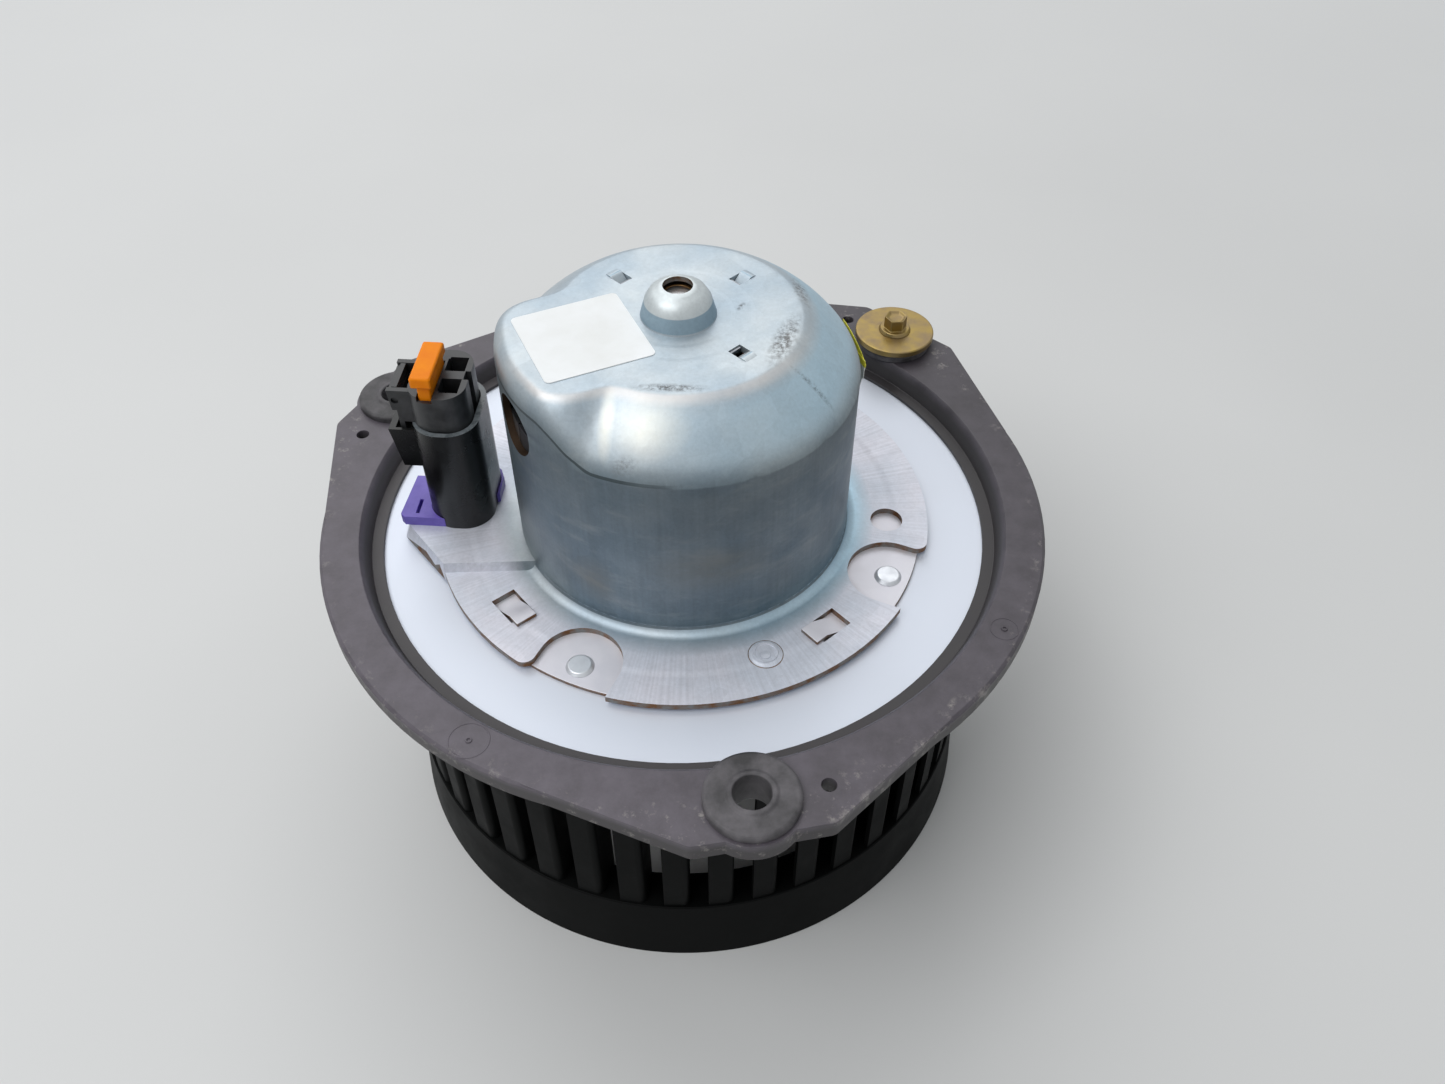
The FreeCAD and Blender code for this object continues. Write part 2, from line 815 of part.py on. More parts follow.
def magnet_clips():
    """Two spring clips that press the magnets apart against the can."""
    outer = can_inner_r - seat_gap
    inner = magnet_inner_r + 1
    low, high = magnet_under, magnet_top
    span = 180.0 - magnet_arc - 1.0
    leg_arc = math.degrees(magnet_clip_t / outer)
    solids = []
    for azimuth in (0.0, 180.0):
        start = azimuth - span / 2
        back = [(outer - magnet_clip_t, low), (outer, low), (outer, high), (outer - magnet_clip_t, high)]
        leg = [(inner, low), (outer, low), (outer, high), (inner, high)]
        solids.append(joined([revolved(back, span, start), revolved(leg, leg_arc, start),
                              revolved(leg, leg_arc, start + span - leg_arc)]))
    return Part.makeCompound(solids)


# Brush gear. Side is +1 for the brush on +Y and -1 for the one on -Y.

def facing(side, shape):
    return turned(shape, 90.0 * side)


def brush_card():
    """An insulating ring with a pad under each holder and an arm out to the connector."""
    ring = tube(card_bore_r, can_inner_r - plug_gap, end_plate_top, card_top)
    half = (terminal_pitch + strip_width) / 2 + 2
    arm = block(terminal_x - 4, -card_bore_r - 8, connector_y - half, connector_y + half, end_plate_top, card_top)
    width = brush_width / 2 + brush_gap + holder_wall
    pad = block(card_bore_r + 1, holder_end_r, -width, width, card_top, holder_under)
    return joined([ring, arm, facing(1, pad), facing(-1, pad)])


def brush_holder(side):
    half = brush_width / 2 + brush_gap
    top = brush_under + brush_height + brush_gap
    outside = block(holder_inner_r, holder_end_r, -half - holder_wall, half + holder_wall, holder_under, top + holder_wall)
    inside = block(holder_inner_r - 1, holder_outer_r, -half, half, holder_under + holder_wall, top)
    return facing(side, outside.cut(inside))


def brush(side):
    near = commutator_r - 1
    far = commutator_r + running_gap + brush_length
    bar = block(near, far, -brush_width / 2, brush_width / 2, brush_under, brush_under + brush_height)
    return facing(side, bar.cut(cylinder(commutator_r + running_gap, brush_under - 1, commutator_top + 1)))


def brush_spring(side):
    """A coil spring that pushes the brush on to the commutator."""
    near = commutator_r + running_gap + brush_length + spring_wire_r + running_gap
    far = holder_outer_r - spring_wire_r - running_gap
    helix = Part.makeHelix((far - near) / spring_turns, far - near, spring_r)
    circle = Part.Wire(Part.makeCircle(spring_wire_r, vec(spring_r, 0, 0), vec(0, 1, 0)))
    coil = Part.Wire(helix).makePipeShell([circle], True, True)
    coil.rotate(vec(0, 0, 0), vec(0, 1, 0), 90)
    coil.translate(vec(near, 0, brush_under + brush_height / 2))
    return facing(side, coil)


def terminal_place(side):
    """Where a blade stands, turned with the connector."""
    offset = vec(terminal_shift, side * terminal_pitch / 2, 0)
    return vec(connector_x, connector_y, 0) + FreeCAD.Rotation(vec(0, 0, 1), connector_turn).multVec(offset)


def terminal_blade(side):
    y = connector_y + side * terminal_pitch / 2
    return in_connector(block(
        terminal_x - blade_terminal_t / 2, terminal_x + blade_terminal_t / 2,
        y - blade_terminal_width / 2, y + blade_terminal_width / 2,
        card_top, tongue_top + shroud_floor_t + blade_terminal_height))


def terminal_strip(side):
    """A brass strip from a brush holder to its blade in the connector."""
    place = terminal_place(side)
    half = strip_width / 2
    joint = side * (holder_inner_r + holder_end_r) / 2
    turn_x = -(card_bore_r + can_inner_r - strip_width) / 2
    gap = brush_width / 2 + brush_gap + holder_wall + seat_gap
    top = card_top + strip_t
    low_y, high_y = sorted((place.y, joint))
    post_high = holder_under + brush_height / 2
    return joined([
        block(turn_x, -gap, joint - half, joint + half, card_top, top),
        block(-gap - strip_t, -gap, joint - half, joint + half, card_top, post_high),
        block(turn_x - half, turn_x + half, low_y - half, high_y + half, card_top, top),
        block(place.x - blade_terminal_t, turn_x, place.y - half, place.y + half, card_top, top),
        terminal_blade(side),
    ])


# Connector

def terminal_ys():
    return [connector_y - terminal_pitch / 2, connector_y + terminal_pitch / 2]


def lock_housing():
    """The box on the shroud's side that the plug's latch drops into."""
    low = lock_top - lock_height
    outline = [(shroud_left + 1, low), (shroud_left + 1, lock_top), (shroud_left - lock_reach, lock_top),
               (shroud_left - lock_reach + lock_taper, low)]
    points = [vec(x, latch_y - lock_width / 2, z) for x, z in outline]
    face = Part.Face(Part.makePolygon(points + points[:1]))
    return face.extrude(vec(0, lock_width, 0))


def lock_pocket():
    half = lock_width / 2 - lock_wall
    low = lock_top - lock_pocket_depth
    left = shroud_left - lock_reach + lock_wall + lock_taper * lock_pocket_depth / lock_height
    return block(left, shroud_left, latch_y - half, latch_y + half, low, lock_top + 1)


def lock_catch():
    half = lever_tongue / 2 - 0.6
    high = lock_top - 0.6
    return block(shroud_left - catch_reach, shroud_left + 0.5, tongue_y - half, tongue_y + half, high - catch_t, high)


def connector_shroud():
    outer = rounded_block(shroud_width, shroud_depth, shroud_round, tongue_top, shroud_top, connector_x, connector_y)
    inner = rounded_block(shroud_width - 2 * shroud_wall, shroud_depth - 2 * shroud_wall, shroud_round - shroud_wall,
                          tongue_top + shroud_floor_t, shroud_top + 1, connector_x, connector_y)
    shell = joined([outer, lock_housing().cut(lock_pocket()), lock_catch()]).cut(inner)
    for y in terminal_ys():
        half_x = blade_terminal_t / 2 + brush_gap
        half_y = blade_terminal_width / 2 + brush_gap
        shell = shell.cut(block(terminal_x - half_x, terminal_x + half_x, y - half_y, y + half_y,
                                tongue_top - 1, tongue_top + shroud_floor_t + 1))
    return shell


def connector_retainer():
    """The coloured plate that clips round the shroud's foot and holds it on the tongue."""
    right = connector_x + shroud_width / 2 + retainer_margin
    left = shroud_left - retainer_foot_reach
    front = connector_y - shroud_depth / 2 + retainer_front_inset
    rear = connector_y + shroud_depth / 2 + retainer_margin
    side = shroud_left - retainer_margin
    foot = prism([(left, front + 1), (left + 1, front), (connector_x - 2, front), (right, connector_y),
                  (right, rear), (side, rear), (side, connector_y + retainer_rear),
                  (left + 0.8, connector_y + retainer_rear)], tongue_top, tongue_top + retainer_foot_t)
    hole = rounded_block(shroud_width + 2 * seat_gap, shroud_depth + 2 * seat_gap, shroud_round, tongue_top - 1,
                         tongue_top + retainer_foot_t + 1, connector_x, connector_y)
    slot = block(left + 3.6, left + 4.4, front + 1.5, front + 6.3, tongue_top + 1.2, tongue_top + retainer_foot_t + 1)
    return foot.cut(hole).cut(slot)


def plug_core():
    """The part of the plug inside the shroud, and its slightly wider head above."""
    low = tongue_top + shroud_floor_t + plug_gap
    corner = shroud_round - shroud_wall - plug_gap
    insert = rounded_block(2 * plug_half_width, 2 * plug_half_depth, corner, low, plug_top, connector_x, connector_y)
    width = 2 * plug_half_width + plug_head_left
    head = rounded_block(width, 2 * plug_half_depth, corner, nose_under, plug_top,
                         connector_x - plug_head_left / 2, connector_y)
    key = block(plug_right - key_depth, plug_right + 1, connector_y - key_width / 2, connector_y + key_width / 2,
                low - 1, plug_top + 1)
    return joined([insert, head]).cut(key)


def guards():
    """Two cheeks that stand out over the lock housing and carry the latch's pins."""
    right = plug_left - plug_head_left + 1
    root = shroud_left - guard_root_reach
    foot = nose_under + guard_notch
    outline = [(right, nose_under), (root, nose_under), (root, foot), (shroud_left - guard_foot_reach, foot),
               (shroud_left - guard_reach, guard_top), (right, guard_top)]
    shapes = []
    for y in (guard_y, guard_y + guard_t + guard_opening):
        points = [vec(x, y, z) for x, z in outline]
        face = Part.Face(Part.makePolygon(points + points[:1]))
        shapes.append(face.extrude(vec(0, guard_t, 0)))
    return shapes


def clip_recess():
    """The pocket the locking clip stands in, a notch in the front wall and a slot for the clip's nose."""
    low = nose_under - plug_gap
    left = clip_left + clip_neck - plug_gap
    right = clip_right - clip_neck + plug_gap
    front = plug_front + clip_leg_inset - plug_gap
    rear = plug_front + clip_bar_length + plug_gap
    pocket = block(left, right, front, rear, low, plug_top + 1)
    notch = block(left, right, plug_front - 1, front + 1, plug_top - clip_notch, plug_top + 1)
    half = clip_nose_width / 2 + plug_gap
    slot = block(shroud_left - 1, left + 0.5, tongue_y - half, tongue_y + half, low, plug_top + 1)
    return joined([pocket, notch, slot])


def plug_body():
    body = joined([plug_core()] + guards())
    body = body.cut(clip_recess())
    sleeve_top = tongue_top + shroud_floor_t + cavity_sleeve_height + 1
    for y in terminal_ys():
        body = body.cut(block(terminal_x - cavity_width / 2, terminal_x + cavity_width / 2,
                              y - cavity_depth / 2, y + cavity_depth / 2, deck, plug_top + 1))
        half = cavity_depth / 2 - 0.4
        ledge = block(terminal_x - cavity_width / 2, terminal_x - cavity_width / 2 + 0.6, y - half, y + half,
                      sleeve_top, sleeve_top + 1)
        body = body.fuse(ledge)
    pin_hole = Part.makeCylinder(lever_pin_r + running_gap, 2 * guard_t + guard_opening,
                                 vec(lever_x, guard_y, lever_pin_z), vec(0, 1, 0))
    return body.cut(pin_hole).removeSplitter()


def plug_terminals():
    """Box terminals in the plug's cavities, each round a blade."""
    low = tongue_top + shroud_floor_t + 2 * plug_gap
    high = low + cavity_sleeve_height
    solids = []
    for y in terminal_ys():
        outer_x = cavity_width / 2 - seat_gap
        outer_y = cavity_depth / 2 - seat_gap
        inner_x = blade_terminal_t / 2 + brush_gap
        inner_y = blade_terminal_width / 2 + brush_gap
        sleeve = block(terminal_x - outer_x, terminal_x + outer_x, y - outer_y, y + outer_y, low, high)
        room = block(terminal_x - inner_x, terminal_x + inner_x, y - inner_y, y + inner_y, low - 1, high + 1)
        solids.append(sleeve.cut(room))
    return Part.makeCompound(solids)


def plug_latch():
    """The lever between the cheeks: ribbed pad, pins, and a tongue with a hook and a window for the nose."""
    front = guard_y + guard_t + lever_gap
    rear = guard_y + guard_t + guard_opening - lever_gap
    left = lever_x - lever_t / 2
    right = lever_x + lever_t / 2
    low = lever_pin_z - lever_tail
    upper = block(left, right, front, rear, lever_pin_z - 2, guard_top)
    tongue = block(left, right, front, front + lever_tongue, low, lever_pin_z)
    hook = block(right, right + hook_reach, front, front + lever_tongue, low, low + hook_t)
    pitch = (guard_top - lever_pin_z + 2) / lever_ribs
    ribs = [block(left - lever_pad * (0.4 + 0.2 * i), right, front, rear, lever_pin_z - 2 + i * pitch,
                  lever_pin_z - 2 + i * pitch + 0.6 * pitch) for i in range(lever_ribs)]
    reach = guard_t * 0.7
    pin = Part.makeCylinder(lever_pin_r, rear - front + 2 * reach, vec(lever_x, front - reach, lever_pin_z),
                            vec(0, 1, 0))
    nose_half = clip_nose_width / 2 + plug_gap
    window = block(left - lever_pad - 1, right + 1, tongue_y - nose_half, tongue_y + nose_half,
                   nose_under - plug_gap, nose_under + clip_nose_t + clip_travel + plug_gap)
    return joined([joined([upper, tongue] + ribs).cut(window), hook, pin])


def plug_lock_clip():
    """The coloured clip: a bar over the plug, three walls in its pocket and a nose through the latch."""
    front = plug_front
    rear = front + clip_bar_length
    left = clip_left + clip_neck
    right = clip_right - clip_neck
    bar = block(clip_left, clip_right, front, rear, bar_under, bar_under + clip_bar_t)
    bar = bar.makeFillet(0.6, [e for e in bar.Edges if e.CenterOfMass.z > bar_under + clip_bar_t - 0.1])
    inset = front + clip_leg_inset
    core = block(left, right, inset, rear, nose_under, bar_under)
    hollow = block(left - 1, right - clip_leg_t, inset + clip_leg_t, rear - clip_leg_t,
                   nose_under + clip_nose_t, bar_under)
    nose = block(lever_x - lever_t, left + 0.5, tongue_y - clip_nose_width / 2, tongue_y + clip_nose_width / 2,
                 nose_under, nose_under + clip_nose_t)
    return joined([bar, core.cut(hollow), nose])


# Plate, flange, grommets and screw

def mounting_plate():
    plate = tube(plate_hole_r, plate_r, plate_under, deck)
    for hole in rivet_holes(plate_under - 1, deck + 1):
        plate = plate.cut(hole)
    return plate


def flange_ring():
    """A ring with a sunk lip and ledge that hold the plate's edge, and a spigot below."""
    foot = plate_under - (spigot_depth - plate_t)
    return revolved([
        (spigot_r, flange_under), (flange_r, flange_under), (flange_r, flange_top - flange_edge_round),
        (flange_r - flange_edge_round, flange_top), (recess_top_r + flange_edge_round, flange_top),
        (recess_top_r, flange_top - flange_edge_round), (recess_foot_r, deck + lip_t), (lip_r, deck + lip_t),
        (lip_r, deck), (plate_r, deck), (plate_r, plate_under), (lip_r, plate_under), (lip_r, foot),
        (spigot_r, foot),
    ])


def ear():
    """One ear at azimuth 0, its long sides tangent to the ring."""
    root = recess_top_r + 2
    outline = [polar(root, -ear_half_span * 0.8), polar(flange_r - 0.4, -ear_half_span),
               polar(ear_corner_r, -ear_corner_before), polar(ear_corner_r, ear_corner_after),
               polar(flange_r - 0.4, ear_half_span), polar(root, ear_half_span * 0.8), polar(root, 0)]
    slab = prism([(p.x, p.y) for p in outline], flange_under, flange_top)
    tall = [e for e in slab.Edges if e.BoundBox.ZLength > flange_t * 0.9]
    corners = [e for e in tall if math.hypot(e.CenterOfMass.x, e.CenterOfMass.y) > ear_corner_r - 1]
    slab = slab.makeFillet(ear_corner_round, corners)
    boss = cylinder(ear_boss_r, flange_under, flange_top, ear_pitch_r, 0)
    return joined([slab, boss]).cut(cylinder(recess_top_r + 1.2, flange_under - 1, flange_top + 1))


def mounting_flange():
    one = ear()
    flange = joined([flange_ring()] + [turned(one, azimuth) for azimuth in ear_azimuths])
    for azimuth in ear_azimuths:
        seat = polar(ear_pitch_r, azimuth)
        pilot = polar(pilot_hole_pitch_r, azimuth + pilot_hole_step)
        flange = flange.cut(cylinder(grommet_neck_r + rubber_gap, flange_under - 1, flange_top + 1, seat.x, seat.y))
        flange = flange.cut(cylinder(pilot_hole_r, flange_under - 1, flange_top + 1, pilot.x, pilot.y))
    return flange


def grommet(azimuth):
    head = flange_top + grommet_head_t
    foot = flange_under - grommet_foot_t
    body = revolved([
        (grommet_bore_r, foot), (grommet_foot_r - 0.6, foot), (grommet_foot_r, foot + 0.6),
        (grommet_foot_r, flange_under), (grommet_neck_r, flange_under), (grommet_neck_r, flange_top),
        (grommet_head_r, flange_top), (grommet_head_r, head - 0.6), (grommet_head_r - 0.6, head),
        (grommet_collar_r, head), (grommet_collar_r - 0.4, head + grommet_collar_t),
        (grommet_bore_r, head + grommet_collar_t),
    ])
    body.translate(polar(ear_pitch_r, azimuth))
    return body


def screw_seat():
    return flange_top + grommet_head_t + grommet_collar_t + seat_gap


def rear_washer():
    p = polar(ear_pitch_r, ear_azimuths[1])
    washer = cylinder(washer_r, screw_seat(), screw_seat() + washer_t, p.x, p.y)
    washer = washer.makeFillet(0.4, [e for e in washer.Edges if e.CenterOfMass.z > screw_seat() + washer_t - 0.1])
    return washer.cut(cylinder(screw_r + running_gap, screw_seat() - 1, screw_seat() + washer_t + 1, p.x, p.y))


def rear_screw():
    p = polar(ear_pitch_r, ear_azimuths[1])
    base = screw_seat() + washer_t + seat_gap
    shank = cylinder(screw_r, base - screw_below_washer, base, p.x, p.y)
    tip = Part.makeCone(screw_r * 0.5, screw_r, screw_tip, vec(p.x, p.y, base - screw_below_washer - screw_tip))
    collar = Part.makeCone(screw_collar_r, screw_collar_r - 0.5, screw_collar_t, vec(p.x, p.y, base))
    head = hexagon(screw_head_flats, base + screw_collar_t, base + screw_collar_t + screw_head_t, p.x, p.y)
    return joined([tip, shank, collar, head])


# Labels

def top_label():
    sheet = rounded_block(label_side, label_side, 1.2, 0, label_t, 0, 0)
    sheet.rotate(vec(0, 0, 0), vec(0, 0, 1), label_turn)
    place = polar(label_pitch_r, label_azimuth, can_top)
    sheet.translate(place)
    return sheet


def side_sticker():
    """A strip on the can's wall, whose front end has come loose and stands off straight."""
    inner = can_r + seat_gap
    high = end_plate_top + shoulder_height - sticker_drop
    low = high - sticker_height
    profile = [(inner, low), (inner + label_t, low), (inner + label_t, high), (inner, high)]
    stuck = revolved(profile, sticker_arc, sticker_azimuth)
    loose = turned(block(inner, inner + label_t, -sticker_loose, 0, low, high), sticker_azimuth)
    return joined([stuck, loose])


pieces = {
    "wheel_skirt": wheel_skirt(),
    "wheel_end_ring": wheel_end_ring(),
    "wheel_blades": wheel_blades(),
    "wheel_back_plate": wheel_back_plate(),
    "wheel_hub_insert": wheel_hub_insert(),
    "wheel_nut": wheel_nut(),
    "wheel_washer": wheel_washer(),
    "shaft_clip": shaft_clip(),
    "shaft": shaft(),
    "thrust_washers": thrust_washers(),
    "commutator_hub": commutator_hub(),
    "commutator_bars": commutator_bar_ring(),
    "armature_core": armature_core(),
    "armature_windings": armature_windings(),
    "motor_can": motor_can(),
    "motor_end_plate": motor_end_plate(),
    "flange_rivets": flange_rivets(),
    "upper_bearing": ball_bush(upper_ball),
    "lower_bearing": ball_bush(lower_ball),
    "upper_bearing_retainer": upper_bearing_retainer(),
    "lower_bearing_retainer": lower_bearing_retainer(),
    "magnet_front": magnet(-90.0),
    "magnet_rear": magnet(90.0),
    "magnet_clips": magnet_clips(),
    "brush_card": brush_card(),
    "brush_holder_front": brush_holder(-1),
    "brush_holder_rear": brush_holder(1),
    "brush_front": brush(-1),
    "brush_rear": brush(1),
    "brush_spring_front": brush_spring(-1),
    "brush_spring_rear": brush_spring(1),
    "terminal_strip_front": terminal_strip(-1),
    "terminal_strip_rear": terminal_strip(1),
    "connector_shroud": in_connector(connector_shroud()),
    "connector_retainer": in_connector(connector_retainer()),
    "plug_body": in_connector(plug_body()),
    "plug_terminals": in_connector(plug_terminals()),
    "plug_latch": in_connector(plug_latch()),
    "plug_lock_clip": in_connector(plug_lock_clip()),
    "mounting_plate": mounting_plate(),
    "mounting_flange": mounting_flange(),
    "grommet_front": grommet(ear_azimuths[0]),
    "grommet_rear": grommet(ear_azimuths[1]),
    "grommet_left": grommet(ear_azimuths[2]),
    "rear_washer": rear_washer(),
    "rear_screw": rear_screw(),
    "top_label": top_label(),
    "side_sticker": side_sticker(),
}

os.makedirs("parts", exist_ok=True)
for name, shape in pieces.items():
    shape.exportStep("parts/" + name + ".step")
    solids = shape.Solids
    print(name, len(solids), "solids", round(shape.Volume, 1), "mm3", "valid" if shape.isValid() else "NOT VALID")
print("levels: deck", deck, "flange", flange_under, flange_top, "can top", can_top, "plug top", plug_top)
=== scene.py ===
# %% [markdown]
# # A cabin blower, dressed for the camera
# The real object pushes air through a car's heater. A motor in a drawn steel can stands on a round
# plate, a grey plastic ring with three rubber-bushed ears holds the plate, and a black squirrel-cage
# wheel hangs below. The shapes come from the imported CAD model. This lesson gives them finishes, and
# rebuilds the few pieces whose looks need more than the CAD holds.

# %% Load the frame
import json
import math

import bmesh
import bpy
from mathutils import Matrix, Vector


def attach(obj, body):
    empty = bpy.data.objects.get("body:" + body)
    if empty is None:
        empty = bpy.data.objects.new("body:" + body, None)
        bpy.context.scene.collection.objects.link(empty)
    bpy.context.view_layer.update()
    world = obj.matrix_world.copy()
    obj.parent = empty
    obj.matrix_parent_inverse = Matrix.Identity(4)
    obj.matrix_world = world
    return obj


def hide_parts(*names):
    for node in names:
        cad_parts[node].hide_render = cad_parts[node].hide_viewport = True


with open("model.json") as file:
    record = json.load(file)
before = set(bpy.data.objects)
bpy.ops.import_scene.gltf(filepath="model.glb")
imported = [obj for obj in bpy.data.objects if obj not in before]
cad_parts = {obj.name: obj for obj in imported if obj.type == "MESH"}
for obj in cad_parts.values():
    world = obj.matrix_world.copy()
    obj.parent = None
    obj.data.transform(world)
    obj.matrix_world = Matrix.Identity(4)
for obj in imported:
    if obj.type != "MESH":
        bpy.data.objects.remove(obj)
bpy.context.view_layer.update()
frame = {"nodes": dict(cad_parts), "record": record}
nodes = frame["nodes"]
body_of_node = {node: body for body, group in frame["record"]["behaviour"]["bodies"].items() for node in group}
slot_of_node = {row["node"]: row["material_slot"] for row in frame["record"]["subparts"]}

# %% [markdown]
# ## Colours and sizes
# Colours are written as on a paint chart, because a maker reads them there. Blender's nodes want
# linear light, so one function turns one into the other. Patterns are sized in millimetres, and a
# texture's scale counts repeats in a metre, so a second function turns that round.

# %% Colours and sizes
MM = 0.001


def srgb(code):
    """A chart colour such as a3b0ba as the linear colour that nodes take."""
    channels = [int(code[i:i + 2], 16) / 255 for i in (0, 2, 4)]
    return tuple(c / 12.92 if c <= 0.04045 else ((c + 0.055) / 1.055) ** 2.4 for c in channels) + (1.0,)


def per_mm(mm):
    """The texture scale whose features are this many millimetres wide."""
    return 1.0 / (mm * MM)


print("the can's grey in linear light", [round(c, 3) for c in srgb("a3b0ba")[:3]])

# %% [markdown]
# ## Camera
# The photograph was taken by hand from the front and above. Its place could be found by eye, but
# here it was solved from the round edges that share the shaft's axis, so it is written as numbers.

# %% Camera
camera = bpy.data.objects.new("camera", bpy.data.cameras.new("camera"))
bpy.context.scene.collection.objects.link(camera)
camera.data.sensor_fit = "HORIZONTAL"
camera.data.sensor_width = 36.0
camera.data.lens = 30.245
camera.location = (0.0, -0.215138, 0.295497)
camera.rotation_euler = [math.radians(a) for a in (43.8105, -0.0924, -2.4399)]
bpy.context.scene.camera = camera
print("camera", tuple(camera.location), "lens", camera.data.lens)

# %% [markdown]
# ## Wiring nodes
# A finish is a small network of nodes. Each could be placed by hand in the editor. Here one helper
# adds a node, sets its options and fills its inputs, with numbers or with other nodes, so that a
# finish reads from top to bottom like a recipe. A node given as a value stands for its first output
# in use, which is nearly always the one that is meant.

# %% Wiring nodes
# The kinds of node used most
MATH, RANGE, NOISE, MIX = "ShaderNodeMath", "ShaderNodeMapRange", "ShaderNodeTexNoise", "ShaderNodeMix"
# Where a mix keeps its factor, its two colours and its two numbers in its list of inputs
FACTOR, FIRST, SECOND, FIRST_NUMBER, SECOND_NUMBER = 0, 6, 7, 2, 3


def fill(node, inputs):
    """Gives a node's inputs their values: a number, a colour, another node or one of its outputs."""
    for key, value in inputs.items():
        if isinstance(value, bpy.types.Node):
            value = next(output for output in value.outputs if output.enabled)
        if isinstance(value, bpy.types.NodeSocket):
            node.id_data.links.new(value, node.inputs[key])
        else:
            node.inputs[key].default_value = value


def add(tree, kind, inputs, **options):
    """Adds one node to a tree."""
    node = tree.nodes.new(kind)
    for option, value in options.items():
        setattr(node, option, value)
    fill(node, inputs)
    return node


def new_finish(name):
    """An empty finish: its material, tree, shader, and the place on the piece that patterns read."""
    material = bpy.data.materials.new(name)
    material.use_nodes = True
    tree = material.node_tree
    place = add(tree, "ShaderNodeTexCoord", {}).outputs["Object"]
    return material, tree, tree.nodes["Principled BSDF"], place


print("a colour mix reads its inputs", (FACTOR, FIRST, SECOND))

# %% [markdown]
# ## Lamps
# Bare steel shows what is round it, so the light matters as much as its colour. One wide lamp hangs
# high at the left front, as a workshop's ceiling light may. A wider one stands behind, where the
# camera sees it mirrored in the can's crown and the plate. Soft lamps keep the shadow soft as well.

# %% Lamps
def softbox(name, place, aim, width, power):
    """A square lamp that faces a point."""
    lamp = bpy.data.lights.new(name, "AREA")
    lamp.shape = "SQUARE"
    lamp.size = width
    lamp.energy = power
    holder = bpy.data.objects.new(name, lamp)
    holder.location = place
    away = Vector(place) - Vector(aim)
    holder.rotation_euler = away.to_track_quat("Z", "Y").to_euler()
    bpy.context.scene.collection.objects.link(holder)
    return holder


softbox("overhead", (-0.62, -0.45, 1.15), (0.0, 0.0, 0.10), 0.90, 8.2)
softbox("behind", (-0.25, 0.80, 1.20), (0.0, -0.03, 0.10), 1.40, 9.0)
bpy.context.scene.view_settings.view_transform = "Standard"

# %% [markdown]
# ## Floor and backdrop
# The floor is plain and pale, and the world behind it has the same colour. Lamps fade with distance,
# so far from the object a lit floor would go dark. There it turns into its own plain colour, but only
# for rays that look at it: the camera's and the ones that metal mirrors. It adds no light.

# %% Floor and backdrop
def looked_at(tree):
    """1 for a ray from the camera or one that metal or glass sends on, and 0 for light on the object."""
    path = add(tree, "ShaderNodeLightPath", {})
    seen = add(tree, MATH, {0: path.outputs["Is Camera Ray"], 1: path.outputs["Is Glossy Ray"]},
               operation="MAXIMUM")
    return add(tree, MATH, {0: seen, 1: path.outputs["Is Transmission Ray"]}, operation="MAXIMUM")


backdrop = "d9dbdc"
world = bpy.data.worlds.new("workshop")
world.use_nodes = True
strength = add(world.node_tree, RANGE, {"Value": looked_at(world.node_tree), "To Min": 0.53, "To Max": 1.0})
fill(world.node_tree.nodes["Background"], {"Color": srgb(backdrop), "Strength": strength})
bpy.context.scene.world = world

bench, tree, shader, place = new_finish("painted_bench")
cloud = add(tree, NOISE, {"Vector": place, "Scale": per_mm(180), "Detail": 3.0})
tone = add(tree, MIX, {FACTOR: cloud, FIRST: srgb("d2d3d3"), SECOND: srgb("dbdcdc")}, data_type="RGBA")
fill(shader, {"Base Color": tone, "Roughness": 0.8})
distance = add(tree, "ShaderNodeVectorMath", {0: place}, operation="LENGTH")
# The lit floor gives way to its plain colour between 35 and 130 cm from the object
far = add(tree, RANGE, {"Value": distance, "From Min": 0.35, "From Max": 1.3})
far = add(tree, MATH, {0: far, 1: looked_at(tree)}, operation="MULTIPLY")
plain = add(tree, "ShaderNodeEmission", {"Color": srgb(backdrop)})
both = add(tree, "ShaderNodeMixShader", {0: far, 1: shader, 2: plain})
fill(tree.nodes["Material Output"], {"Surface": both})

floor_mesh = bpy.data.meshes.new("floor")
floor_mesh.from_pydata([(-3, -3, 0), (3, -3, 0), (3, 3, 0), (-3, 3, 0)], [], [(0, 1, 2, 3)])
floor_mesh.materials.append(bench)
floor = bpy.data.objects.new("floor", floor_mesh)
bpy.context.scene.collection.objects.link(floor)
print("floor finish", bench.name, len(tree.nodes), "nodes")

# %% [markdown]
# ## Plastic and rubber
# Mouldings are never one flat colour: resin flows unevenly, handling polishes some parts, and dust
# greys the rest. A picture could be wrapped round them, but a pattern worked out from the place on
# the piece has no seams. Slow noise moves the colour and the gloss, and fine noise is the grain.

# %% Plastic and rubber
def drifting(tree, cloud, top, colour, other, rough, spread):
    """A colour between two shades and a gloss that both drift with one slow noise."""
    share = add(tree, RANGE, {"Value": cloud, "From Min": 0.35, "From Max": top})
    tone = add(tree, MIX, {FACTOR: share, FIRST: srgb(colour), SECOND: srgb(other)}, data_type="RGBA")
    return tone, add(tree, RANGE, {"Value": cloud, "From Min": 0.3, "From Max": 0.7,
                                   "To Min": rough - spread, "To Max": rough + spread})


